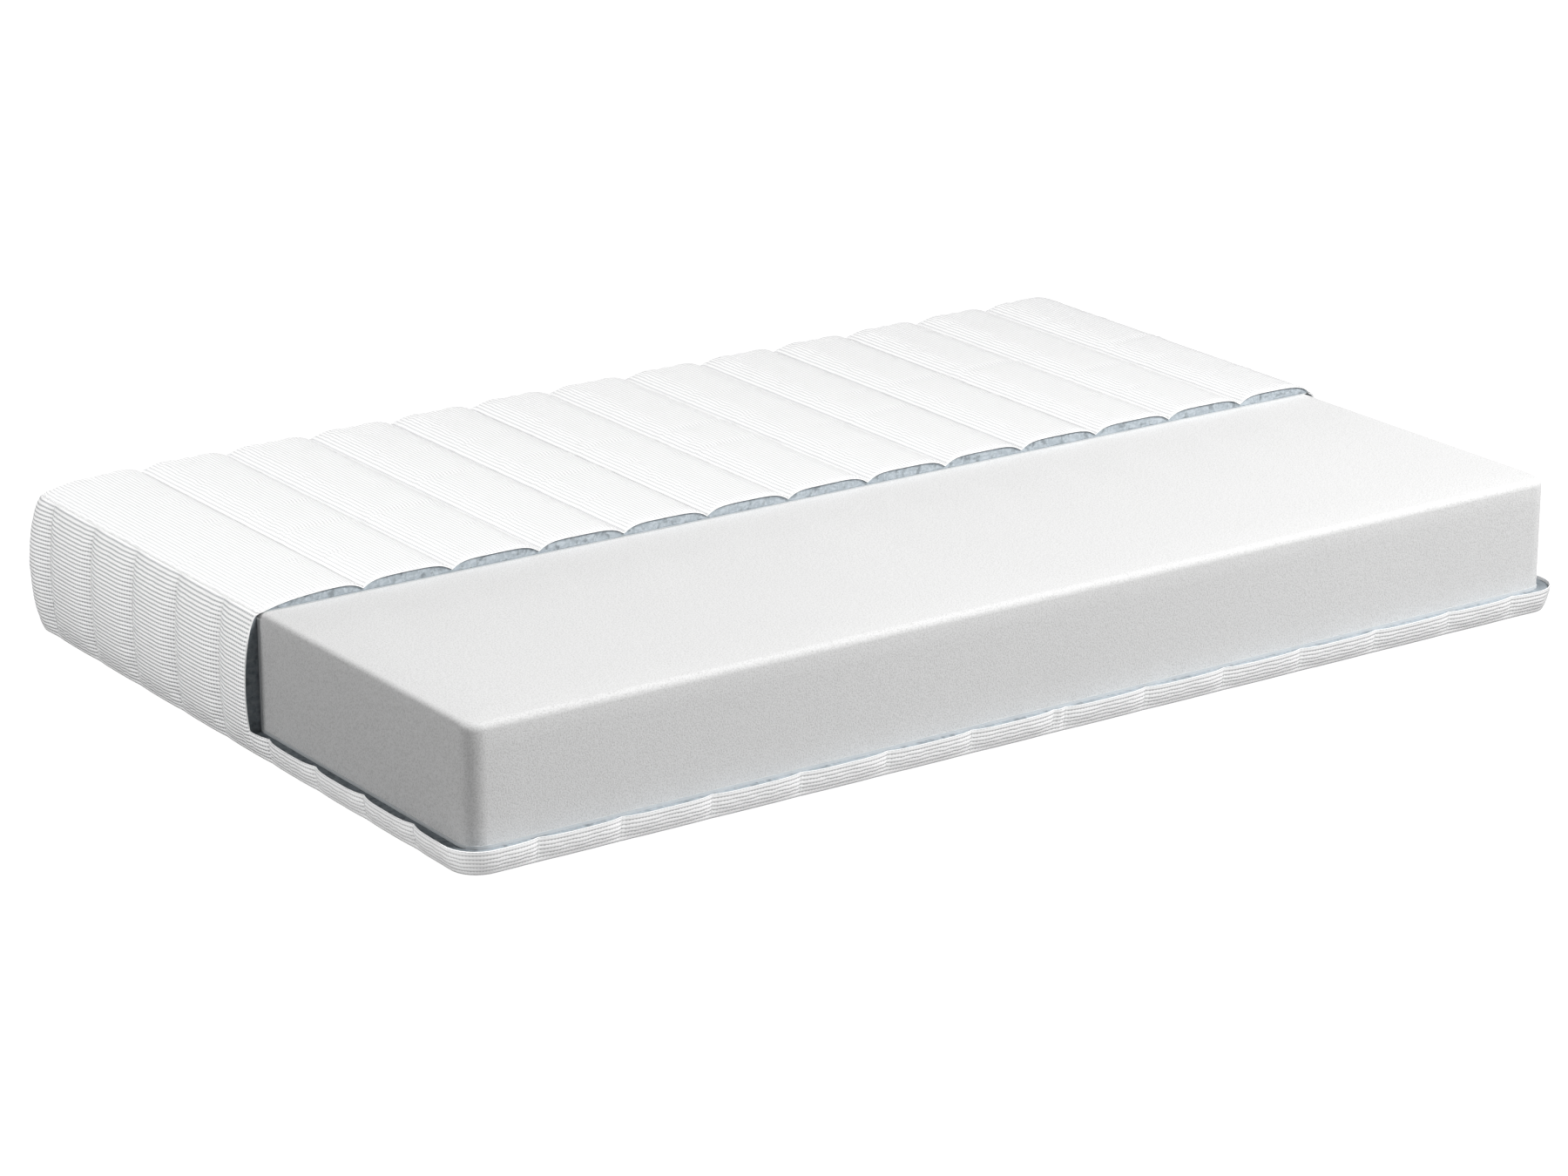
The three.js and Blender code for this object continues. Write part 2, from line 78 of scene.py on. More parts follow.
class Graph:
    """A node tree that is written one node at a time, from inputs to outputs."""

    def __init__(self, tree: bpy.types.NodeTree) -> None:
        """Starts on a tree.

        Args:
            tree: The node tree to write in.
        """
        self.tree = tree

    def node(self, kind: str, inputs: dict | None = None, **settings) -> bpy.types.Node:
        """Adds a node.

        Args:
            kind: The node's type, such as ShaderNodeMath.
            inputs: Sockets by name or number, each with a value or a socket to link from.
            **settings: The node's own settings.

        Returns:
            The new node.
        """
        made = self.tree.nodes.new(kind)
        for name, value in settings.items():
            setattr(made, name, value)
        for name, value in (inputs or {}).items():
            socket = made.inputs[name]
            if isinstance(value, bpy.types.NodeSocket):
                self.tree.links.new(value, socket)
            else:
                socket.default_value = value
        return made

    def math(self, operation: str, *values: Value) -> bpy.types.NodeSocket:
        """A sum on numbers or sockets.

        Args:
            operation: The Math node's operation, such as MULTIPLY.
            *values: One to three numbers or sockets.

        Returns:
            The socket with the result.
        """
        inputs = dict(enumerate(values))
        return self.node("ShaderNodeMath", inputs, operation=operation).outputs[0]

    def mix(self, share: Value, low: Value, high: Value) -> bpy.types.NodeSocket:
        """A colour between two colours.

        Args:
            share: How much of the high colour shows, a number or a socket.
            low: The colour at 0.
            high: The colour at 1.

        Returns:
            The mixed colour's socket.
        """
        made = self.node("ShaderNodeMix", {"Factor": share, 6: low, 7: high}, data_type="RGBA")
        return made.outputs[2]

    def noise(self, vector: Value, scale: Value, detail: float = 2.0) -> bpy.types.NodeSocket:
        """A noise value from 0 to 1.

        Args:
            vector: The place it is read at, in metres.
            scale: How many lumps there are in a metre.
            detail: How many finer octaves are added.

        Returns:
            The socket with the value.
        """
        inputs = {"Vector": vector, "Scale": scale, "Detail": detail}
        return self.node("ShaderNodeTexNoise", inputs).outputs["Fac"]

    def ramp(self, value: Value, low: float, high: float) -> bpy.types.NodeSocket:
        """A smooth step from 0 at one value to 1 at another.

        Args:
            value: The socket to read.
            low: Where the step starts.
            high: Where it ends.

        Returns:
            The socket with the step.
        """
        inputs = {"Value": value, "From Min": low, "From Max": high}
        made = self.node("ShaderNodeMapRange", inputs, interpolation_type="SMOOTHSTEP")
        return made.outputs["Result"]

    def place(self) -> bpy.types.NodeSocket:
        """The object's own coordinates, in metres."""
        return self.node("ShaderNodeTexCoord").outputs["Object"]

    def flat_place(self) -> bpy.types.NodeSocket:
        """The place on the fabric before it was sewn, from the UV map, in metres."""
        return self.node("ShaderNodeTexCoord").outputs["UV"]

    def attribute(self, name: str) -> bpy.types.NodeSocket:
        """A number that the mesh carries, by its name."""
        return self.node("ShaderNodeAttribute", attribute_name=name).outputs["Fac"]


def fresh_graph(owner: bpy.types.Material | bpy.types.World) -> Graph:
    """A material's or a world's own graph, emptied.

    Args:
        owner: The material or the world.

    Returns:
        The empty graph.
    """
    owner.use_nodes = True
    owner.node_tree.nodes.clear()
    return Graph(owner.node_tree)


def node_group(name: str, inputs: dict, outputs: dict) -> tuple[Graph, dict, dict]:
    """Starts a shader node group.

    Args:
        name: The group's name.
        inputs: Socket names with (socket type, default or None).
        outputs: Socket names with their socket type.

    Returns:
        The graph inside the group, its input sockets by name and its output node's inputs by name.
    """
    tree = bpy.data.node_groups.new(name, "ShaderNodeTree")
    for label, (kind, value) in inputs.items():
        socket = tree.interface.new_socket(label, in_out="INPUT", socket_type=kind)
        if value is not None:
            socket.default_value = value
    for label, kind in outputs.items():
        tree.interface.new_socket(label, in_out="OUTPUT", socket_type=kind)
    entry = tree.nodes.new("NodeGroupInput")
    leave = tree.nodes.new("NodeGroupOutput")
    sources = {label: entry.outputs[label] for label in inputs}
    return Graph(tree), sources, {label: leave.inputs[label] for label in outputs}


VALUE = "NodeSocketFloat"
PLACE = "NodeSocketVector"


NOISE_DETAIL = 3.0
WAFFLE_RIB = 6.2 * MM
WAFFLE_STITCH = 4.9 * MM
YARN_DRIFT_SCALE = 30.0
YARN_DRIFT = 0.2
ROW_SHARPNESS = 2.2
DASH_SHARPNESS = 1.5
DASH_SHARE = 0.55
ROW_DEPTH = 0.45
HOLLOW_DEPTH = 0.5


def waffle_group() -> bpy.types.NodeTree:
    """The waffle knit: ribs along the fabric with a row of small sunk stitches between them.

    Returns:
        A group that reads the flat place and puts out the relief and the hollows, from 0 to 1.
    """
    graph, given, out = node_group(
        "waffle_knit",
        {"Place": (PLACE, None), "Rib": (VALUE, WAFFLE_RIB), "Stitch": (VALUE, WAFFLE_STITCH)},
        {"Height": VALUE, "Hollow": VALUE},
    )
    split = graph.node("ShaderNodeSeparateXYZ", {0: given["Place"]})
    wander = graph.noise(given["Place"], YARN_DRIFT_SCALE)
    drift = graph.math("MULTIPLY", graph.math("SUBTRACT", wander, 0.5), YARN_DRIFT)

    def wave(axis: str, pitch: str) -> bpy.types.NodeSocket:
        """A wave from 0 to 1 along one axis of the fabric.

        Args:
            axis: The axis it runs along, X or Y.
            pitch: The input with its length.

        Returns:
            The socket with the wave.
        """
        turns = graph.math("ADD", graph.math("DIVIDE", split.outputs[axis], given[pitch]), drift)
        swing = graph.math("COSINE", graph.math("MULTIPLY", turns, 2 * math.pi))
        return graph.math("MULTIPLY_ADD", swing, 0.5, 0.5)

    row = graph.math("POWER", wave("Y", "Rib"), ROW_SHARPNESS)
    dash = graph.math("POWER", wave("X", "Stitch"), DASH_SHARPNESS)
    broken = graph.math("MULTIPLY_ADD", dash, DASH_SHARE, 1 - DASH_SHARE)
    hollow = graph.math("MULTIPLY", row, broken)
    relief = graph.math("SUBTRACT", 1.0, graph.math("MULTIPLY", row, ROW_DEPTH))
    height = graph.math("SUBTRACT", relief, graph.math("MULTIPLY", hollow, HOLLOW_DEPTH))
    graph.tree.links.new(height, out["Height"])
    graph.tree.links.new(hollow, out["Hollow"])
    return graph.tree


# The streaks of the fibres: how far each set is turned, and how it is stretched.
FIBRE_SETS = ((0.3, (1.0, 0.2, 0.6)), (1.3, (0.25, 1.0, 0.5)), (2.2, (0.6, 0.5, 1.0)))
LUMP_COARSENESS = 0.3
LUMP_STEP = (0.5, 0.68)


def fibre_group() -> bpy.types.NodeTree:
    """Tangled fibres: long soft streaks in three directions and loose lumps.

    Returns:
        A group that puts out the fibres' height and a mask of dark lumps.
    """
    graph, given, out = node_group(
        "fibres",
        {"Place": (PLACE, None), "Scale": (VALUE, 300.0)},
        {"Height": VALUE, "Lump": VALUE},
    )
    streaks = []
    for turn, stretch in FIBRE_SETS:
        turning = {"Vector": given["Place"], "Scale": stretch, "Rotation": (turn, turn, 0)}
        turned = graph.node("ShaderNodeMapping", turning)
        streaks.append(graph.noise(turned.outputs[0], given["Scale"], NOISE_DETAIL))
    height = graph.math("MAXIMUM", graph.math("MAXIMUM", streaks[0], streaks[1]), streaks[2])
    coarse = graph.math("MULTIPLY", given["Scale"], LUMP_COARSENESS)
    lumps = graph.noise(given["Place"], coarse, NOISE_DETAIL)
    graph.tree.links.new(height, out["Height"])
    graph.tree.links.new(graph.ramp(lumps, *LUMP_STEP), out["Lump"])
    return graph.tree


PORE_STEP = (0.08, 0.3)
PORE_DEPTH = 0.5


def cell_group() -> bpy.types.NodeTree:
    """The open cells of cut foam: a fine grain with scattered larger pores.

    Returns:
        A group that puts out the grain's height and a mask of pores.
    """
    graph, given, out = node_group(
        "foam_cells",
        {"Place": (PLACE, None), "Scale": (VALUE, 500.0)},
        {"Height": VALUE, "Pore": VALUE},
    )
    grain = graph.noise(given["Place"], given["Scale"], NOISE_DETAIL)
    cells = graph.node("ShaderNodeTexVoronoi", {"Vector": given["Place"], "Scale": given["Scale"]})
    pore = graph.math("SUBTRACT", 1.0, graph.ramp(cells.outputs["Distance"], *PORE_STEP))
    height = graph.math("SUBTRACT", grain, graph.math("MULTIPLY", pore, PORE_DEPTH))
    graph.tree.links.new(height, out["Height"])
    graph.tree.links.new(pore, out["Pore"])
    return graph.tree


YARN_EDGE = 0.3


def weave_group() -> bpy.types.NodeTree:
    """A plain weave of two sets of yarns, over and under each other.

    Returns:
        A group that puts out the yarns' height and the gaps between them.
    """
    graph, given, out = node_group(
        "weave",
        {"Place": (PLACE, None), "Pitch": (VALUE, 0.8 * MM)},
        {"Height": VALUE, "Gap": VALUE},
    )
    split = graph.node("ShaderNodeSeparateXYZ", {0: given["Place"]})
    sines = []
    for axis in "XY":
        turns = graph.math("DIVIDE", split.outputs[axis], given["Pitch"])
        sines.append(graph.math("SINE", graph.math("MULTIPLY", turns, math.pi)))
    crossing = graph.math("MULTIPLY", sines[0], sines[1])
    height = graph.math("MULTIPLY_ADD", crossing, 0.5, 0.5)
    gap = graph.math("SUBTRACT", 1.0, graph.ramp(graph.math("ABSOLUTE", crossing), 0.0, YARN_EDGE))
    graph.tree.links.new(height, out["Height"])
    graph.tree.links.new(gap, out["Gap"])
    return graph.tree


class Pattern(Enum):
    """The shared patterns, each with the function that makes its group."""

    WAFFLE = ("waffle_knit", waffle_group)
    FIBRES = ("fibres", fibre_group)
    CELLS = ("foam_cells", cell_group)
    WEAVE = ("weave", weave_group)

    def on(self, graph: Graph, place: bpy.types.NodeSocket, **values: float) -> bpy.types.Node:
        """Puts the pattern in a material.

        Args:
            graph: The material's graph.
            place: The coordinates that it reads.
            **values: The pattern's own values by socket name.

        Returns:
            The group node.
        """
        name, make = self.value
        tree = bpy.data.node_groups.get(name) or make()
        group = graph.node("ShaderNodeGroup", node_tree=tree)
        graph.tree.links.new(place, group.inputs["Place"])
        for label, value in values.items():
            group.inputs[label].default_value = value
        return group


def srgb(red: int, green: int, blue: int) -> Colour:
    """A screen colour from 0 to 255, above its darkest tones, as a shader's linear colour."""
    linear = [((value / 255 + 0.055) / 1.055) ** 2.4 for value in (red, green, blue)]
    return (*linear, 1.0)


def grey(level: float) -> Colour:
    """A neutral linear colour."""
    return (level, level, level, 1.0)


def dimmed(colour: Colour, share: float) -> Colour:
    """A colour with only a share of its light."""
    return (*(share * channel for channel in colour[:3]), 1.0)


@dataclass(frozen=True)
class Finish:
    """What every finish has: a name, a colour and how rough it is."""

    name: str
    colour: Colour
    roughness: float = 0.9

    def material(self) -> bpy.types.Material:
        """The finish as a material, made the first time it is asked for.

        Returns:
            The material.
        """
        found = bpy.data.materials.get(self.name)
        if found:
            return found
        made = bpy.data.materials.new(self.name)
        graph = fresh_graph(made)
        shader = graph.node("ShaderNodeBsdfPrincipled", {"Roughness": self.roughness})
        graph.node("ShaderNodeOutputMaterial", {"Surface": shader.outputs[0]})
        self.dress(graph, shader)
        return made

    def dress(self, graph: Graph, shader: bpy.types.Node) -> None:
        """Writes the finish's own nodes.

        Args:
            graph: The material's graph.
            shader: Its shader.
        """
        raise NotImplementedError

    @staticmethod
    def relief(
        graph: Graph, shader: bpy.types.Node, height: Value, depth: float, strength: float = 1.0
    ) -> None:
        """Bumps a shader's surface.

        Args:
            graph: The material's graph.
            shader: Its shader.
            height: The socket with the relief, from 0 to 1.
            depth: How deep the relief is, in metres.
            strength: How much of it shows.
        """
        inputs = {"Height": height, "Distance": depth, "Strength": strength}
        bump = graph.node("ShaderNodeBump", inputs)
        graph.tree.links.new(bump.outputs[0], shader.inputs["Normal"])

    @staticmethod
    def tint(graph: Graph, shader: bpy.types.Node, colour: bpy.types.NodeSocket) -> None:
        """Gives a shader its base colour."""
        graph.tree.links.new(colour, shader.inputs["Base Color"])


@dataclass(frozen=True)
class KnitFinish(Finish):
    """White waffle knit with painted shade in its sunk stitches and a soft sheen."""

    # The hollow colour is painted shade in the sunk stitches.
    hollow: Colour = srgb(140, 142, 146)
    depth: float = 1.3 * MM
    yarn_scale: float = 900.0
    yarn_step: tuple[float, float] = (0.3, 0.75)
    yarn_tone: float = 0.96
    yarn_depth: float = 0.08
    face_step: tuple[float, float] = (0.9, 1.0)
    sheen: float = 0.15
    sheen_roughness: float = 0.5

    def dress(self, graph: Graph, shader: bpy.types.Node) -> None:
        """Ribs and sunk stitches from the fabric's own flat place, with painted shade in the sunk
        stitches, and faint yarn variation.

        Args:
            graph: The material's graph.
            shader: Its shader.
        """
        place = graph.flat_place()
        waffle = Pattern.WAFFLE.on(graph, place)
        outside = graph.ramp(graph.attribute("across"), *self.face_step)
        yarn = graph.noise(place, self.yarn_scale, NOISE_DETAIL)
        shade = dimmed(self.colour, self.yarn_tone)
        worn = graph.mix(graph.ramp(yarn, *self.yarn_step), self.colour, shade)
        loose = graph.math("SUBTRACT", 1.0, graph.attribute("drawn"))
        shown = graph.math("MULTIPLY", outside, loose)
        # Painted shade in the sunk stitches, less where the knit is drawn, and none on its cut faces.
        deep = graph.math("MULTIPLY", waffle.outputs["Hollow"], shown)
        self.tint(graph, shader, graph.mix(deep, worn, self.hollow))
        ribs = graph.math("MULTIPLY", waffle.outputs["Height"], shown)
        height = graph.math("MULTIPLY_ADD", yarn, self.yarn_depth, ribs)
        self.relief(graph, shader, height, self.depth)
        shader.inputs["Sheen Weight"].default_value = self.sheen
        shader.inputs["Sheen Roughness"].default_value = self.sheen_roughness


@dataclass(frozen=True)
class WaddingFinish(Finish):
    """Blue-grey fibre wadding, with painted shade next to the knit and where its mesh carries painted
    shade.
    """

    # The colour of the dark lumps and of the painted shade.
    dark: Colour = srgb(62, 68, 74)
    pale: Colour = srgb(214, 222, 228)
    fibre_scale: float = 260.0
    streak_step: tuple[float, float] = (0.5, 0.68)
    streak_share: float = 0.6
    lump_share: float = 0.45
    # Painted shade along the edge under the knit.
    knit_shade_step: tuple[float, float] = (0.8, 1.0)
    knit_shade_share: float = 0.85
    depth: float = 1.2 * MM
    strength: float = 0.8

    def dress(self, graph: Graph, shader: bpy.types.Node) -> None:
        """Fibres and lumps in three tones, with painted shade near the knit and from the mesh's own
        attributes.

        Args:
            graph: The material's graph.
            shader: Its shader.
        """
        place = graph.place()
        fibres = Pattern.FIBRES.on(graph, place, Scale=self.fibre_scale)
        streak = graph.ramp(fibres.outputs["Height"], *self.streak_step)
        body = graph.mix(graph.math("MULTIPLY", streak, self.streak_share), self.colour, self.pale)
        lumps = graph.math("MULTIPLY", fibres.outputs["Lump"], self.lump_share)
        speckled = graph.mix(lumps, body, self.dark)
        # Painted shade near the knit, and more painted shade carried in the drawn attribute.
        near_knit = graph.ramp(graph.attribute("across"), *self.knit_shade_step)
        shade_near_knit = graph.math("MULTIPLY", near_knit, self.knit_shade_share)
        painted_shade = graph.math("MAXIMUM", shade_near_knit, graph.attribute("drawn"))
        self.tint(graph, shader, graph.mix(painted_shade, speckled, self.dark))
        self.relief(graph, shader, fibres.outputs["Height"], self.depth, self.strength)


@dataclass(frozen=True)
class LiningFinish(Finish):
    """Thin woven lining."""

    gap: Colour = srgb(186, 192, 197)
    pitch: float = 0.9 * MM
    gap_share: float = 0.5
    depth: float = 0.2 * MM

    def dress(self, graph: Graph, shader: bpy.types.Node) -> None:
        """A fine plain weave on the fabric's flat place.

        Args:
            graph: The material's graph.
            shader: Its shader.
        """
        weave = Pattern.WEAVE.on(graph, graph.flat_place(), Pitch=self.pitch)
        shown = graph.math("MULTIPLY", weave.outputs["Gap"], self.gap_share)
        self.tint(graph, shader, graph.mix(shown, self.colour, self.gap))
        self.relief(graph, shader, weave.outputs["Height"], self.depth)


@dataclass(frozen=True)
class FoamFinish(Finish):
    """White open-cell foam with a fine grain."""

    pore: Colour = srgb(216, 216, 215)
    cell_scale: float = 430.0
    pore_share: float = 0.2
    grain_step: tuple[float, float] = (0.6, 0.25)
    grain_share: float = 0.8
    slow_scale: float = 3.0
    slow_step: tuple[float, float] = (0.3, 0.7)
    slow_share: float = 0.25
    slow_tone: float = 0.93
    depth: float = 0.5 * MM
    strength: float = 0.6

    def dress(self, graph: Graph, shader: bpy.types.Node) -> None:
        """Cells in the colour and the relief, with a slow change of tone over the block.

        Args:
            graph: The material's graph.
            shader: Its shader.
        """
        place = graph.place()
        cells = Pattern.CELLS.on(graph, place, Scale=self.cell_scale)
        slow = graph.ramp(graph.noise(place, self.slow_scale), *self.slow_step)
        changed = graph.math("MULTIPLY", slow, self.slow_share)
        body = graph.mix(changed, self.colour, dimmed(self.colour, self.slow_tone))
        sunk = graph.ramp(cells.outputs["Height"], *self.grain_step)
        grain = graph.math("MULTIPLY", sunk, self.grain_share)
        pores = graph.math("MULTIPLY", cells.outputs["Pore"], self.pore_share)
        self.tint(graph, shader, graph.mix(graph.math("MAXIMUM", pores, grain), body, self.pore))
        self.relief(graph, shader, cells.outputs["Height"], self.depth, self.strength)


@dataclass(frozen=True)
class ThreadFinish(Finish):
    """Glossy twisted polyester thread."""

    ply: float = 0.7 * MM
    tone: float = 0.88
    depth: float = 0.15 * MM

    def dress(self, graph: Graph, shader: bpy.types.Node) -> None:
        """The twist of the plies, from slanting bands over the object's coordinates.

        Args:
            graph: The material's graph.
            shader: Its shader.
        """
        split = graph.node("ShaderNodeSeparateXYZ", {0: graph.place()})
        upright = graph.math("ADD", split.outputs["Y"], split.outputs["Z"])
        along = graph.math("ADD", split.outputs["X"], upright)
        swing = graph.math("SINE", graph.math("MULTIPLY", along, 2 * math.pi / self.ply))
        band = graph.math("MULTIPLY_ADD", swing, 0.5, 0.5)
        self.tint(graph, shader, graph.mix(band, dimmed(self.colour, self.tone), self.colour))
        self.relief(graph, shader, band, self.depth)


@dataclass(frozen=True)
class TapeFinish(Finish):
    """Woven zip tape."""

    gap: Colour = srgb(170, 170, 168)
    pitch: float = 0.7 * MM
    depth: float = 0.25 * MM

    def dress(self, graph: Graph, shader: bpy.types.Node) -> None:
        """A plain weave in the plane of the tape.

        Args:
            graph: The material's graph.
            shader: Its shader.
        """
        upright = {"Vector": graph.place(), "Rotation": (math.pi / 2, 0, 0)}
        turned = graph.node("ShaderNodeMapping", upright)
        weave = Pattern.WEAVE.on(graph, turned.outputs[0], Pitch=self.pitch)
        self.tint(graph, shader, graph.mix(weave.outputs["Gap"], self.colour, self.gap))
        self.relief(graph, shader, weave.outputs["Height"], self.depth)


@dataclass(frozen=True)
class NylonFinish(Finish):
    """Moulded nylon with fine draw marks."""

    mark_scale: float = 1500.0
    gloss_scale: float = 120.0
    gloss_change: float = 0.2
    tone: float = 0.92
    depth: float = 0.05 * MM

    def dress(self, graph: Graph, shader: bpy.types.Node) -> None:
        """Draw marks in the relief and slightly uneven gloss.

        Args:
            graph: The material's graph.
            shader: Its shader.
        """
        place = graph.place()
        marks = graph.noise(place, self.mark_scale)
        uneven = graph.noise(place, self.gloss_scale)
        least = self.roughness - self.gloss_change / 2
        gloss = graph.math("MULTIPLY_ADD", uneven, self.gloss_change, least)
        graph.tree.links.new(gloss, shader.inputs["Roughness"])
        self.tint(graph, shader, graph.mix(marks, self.colour, dimmed(self.colour, self.tone)))
        self.relief(graph, shader, marks, self.depth)


@dataclass(frozen=True)
class MetalFinish(Finish):
    """Nickel plate with brush marks and rubbed edges."""

    rubbed: Colour = srgb(226, 224, 218)
    brushing: tuple[float, float, float] = (0.15, 1.0, 1.0)
    brush_scale: float = 4000.0
    brush_change: float = 0.25
    smoothest: float = 0.22
    edge_step: tuple[float, float] = (0.51, 0.56)
    wear_scale: float = 700.0
    wear_step: tuple[float, float] = (0.35, 0.6)
    depth: float = 0.02 * MM

    def dress(self, graph: Graph, shader: bpy.types.Node) -> None:
        """Brush marks along the part, uneven gloss, and brighter metal where it is rubbed.

        Args:
            graph: The material's graph.
            shader: Its shader.
        """
        shader.inputs["Metallic"].default_value = 1.0
        place = graph.place()
        brushed = graph.node("ShaderNodeMapping", {"Vector": place, "Scale": self.brushing})
        marks = graph.noise(brushed.outputs[0], self.brush_scale, NOISE_DETAIL)
        pointed = graph.node("ShaderNodeNewGeometry").outputs["Pointiness"]
        patchy = graph.ramp(graph.noise(place, self.wear_scale), *self.wear_step)
        worn = graph.math("MULTIPLY", graph.ramp(pointed, *self.edge_step), patchy)
        self.tint(graph, shader, graph.mix(worn, self.colour, self.rubbed))
        gloss = graph.math("MULTIPLY_ADD", marks, self.brush_change, self.smoothest)
        graph.tree.links.new(gloss, shader.inputs["Roughness"])
        self.relief(graph, shader, marks, self.depth)


KNIT = KnitFinish("waffle_knit_white", srgb(247, 247, 247), 0.85)
WADDING = WaddingFinish("fibre_wadding", srgb(177, 187, 194), 0.95)
LINING = LiningFinish("lining_cloth", srgb(232, 236, 238), 0.9)
FOAM = FoamFinish("white_foam", srgb(248, 248, 248), 0.9)
THREAD = ThreadFinish("white_thread", srgb(252, 252, 252), 0.55)
TAPE = TapeFinish("zip_tape_weave", srgb(240, 240, 238), 0.8)
NYLON = NylonFinish("nylon_coil", srgb(244, 244, 242), 0.4)
NICKEL = MetalFinish("nickel_plate", srgb(198, 198, 196), 0.34)


# ---- Plan and grids --------------------------------------------------------------------------


@dataclass(frozen=True)
class Footprint:
    """The foam's plan, walked once round, to the left along the front from the strip's join.

    The walk's length is measured some way off the foam, where the border's knit is.
    """

    half_length: float
    half_width: float
    centre_y: float
    radius: float = CORNER_RADIUS
    reach: float = 22 * MM
    join_x: float = 10.5 * MM

    def __post_init__(self) -> None:
        """Works out where each side and corner starts."""
        a, b = self.half_length - self.radius, self.half_width - self.radius
        arc = (self.radius + self.reach) * math.pi / 2
        lengths = [a - self.join_x, arc, 2 * b, arc, 2 * a, arc, 2 * b, arc, a + self.join_x]
        starts = np.concatenate([[0.0], np.cumsum(lengths)])
        object.__setattr__(self, "starts", starts)
        object.__setattr__(self, "a", a)
        object.__setattr__(self, "b", b)

    @property
    def length(self) -> float:
        """How long the walk is."""
        return float(self.starts[-1])

    def at_front(self, x: float) -> float:
        """How far round a place on the front is, by its X."""
        return x - self.join_x if x >= self.join_x else self.length - (self.join_x - x)

    def at_right(self, y: float) -> float:
        """How far round a place on the side at +X is, by its Y."""
        return self.starts[2] + y - (self.centre_y - self.b)

    def at_back(self, x: float) -> float:
        """How far round a place on the back is, by its X."""
        return self.starts[4] + self.a - x

    def at_left(self, y: float) -> float:
        """How far round a place on the side at -X is, by its Y."""
        return self.starts[6] + self.centre_y + self.b - y

    def locate(self, walked: np.ndarray) -> tuple[np.ndarray, np.ndarray]:
        """Places on the foam's outline.

        Args:
            walked: How far round each place is.

        Returns:
            The places and the directions straight out of them, in plan.
        """
        a, b, r = self.a, self.b, self.radius
        corners = [(a, -b), (a, b), (-a, b), (-a, -b)]
        ways = [(1, 0), (0, 1), (-1, 0), (0, -1), (1, 0)]
        firsts = [(self.join_x, -b - r), (a + r, -b), (a, b + r), (-a - r, b), (-a, -b - r)]
        walked = np.clip(np.asarray(walked, float), 0.0, self.length)
        which = np.clip(np.searchsorted(self.starts, walked, side="right") - 1, 0, 8)
        into = walked - self.starts[which]
        points, normals = np.zeros((len(walked), 2)), np.zeros((len(walked), 2))
        for side in range(9):
            here = which == side
            k = side // 2
            if side % 2 == 0:
                points[here] = np.array(firsts[k]) + into[here, None] * np.array(ways[k])
                normals[here] = (ways[k][1], -ways[k][0])
            else:
                turn = math.pi / 2 * (k - 1) + into[here] / (r + self.reach)
                normals[here] = np.stack([np.cos(turn), np.sin(turn)], axis=1)
                points[here] = np.array(corners[k]) + r * normals[here]
        return points + np.array([0.0, self.centre_y]), normals


def spread(keys: list[float], step: float, least: int = 2, gather: float = 0.0) -> np.ndarray:
    """Places from the first key to the last, with every key among them.

    Args:
        keys: The places that have to be there.
        step: The most between two places.
        least: The fewest steps between two keys.
        gather: How much the places draw in towards the keys, from 0 to 1.

    Returns:
        The places in order.
    """
    keys = sorted(set(keys))
    places = [keys[0]]
    for low, high in zip(keys, keys[1:]):
        count = max(least, math.ceil((high - low) / step))
        share = np.arange(1, count + 1) / count
        share = (1 - gather) * share + gather * (1 - np.cos(np.pi * share)) / 2
        places.extend(low + (high - low) * share)
    return np.array(places)


def nearest(places: np.ndarray, keys: list[float]) -> np.ndarray:
    """How far each place is from the nearest of some keys."""
    return np.abs(places[:, None] - np.array(keys)[None, :]).min(axis=1)


def swell(away: np.ndarray, reach: float, power: float) -> np.ndarray:
    """How far a quilted channel has risen at a distance from its stitches, from 0 to 1."""
    return 1 - np.clip(1 - away / reach, 0, 1) ** power


def unevenness(points: np.ndarray, size: float, seed: float) -> np.ndarray:
    """Slow noise from -1 to 1 at some places.

    Args:
        points: The places, one per row, flattened from a grid.
        size: How wide its lumps are.
        seed: Which noise it is.

    Returns:
        The noise at each place.
    """
    shift = Vector((seed, 2 * seed, 3 * seed))
    return np.array([noise.noise(Vector(p) / size + shift) for p in points])


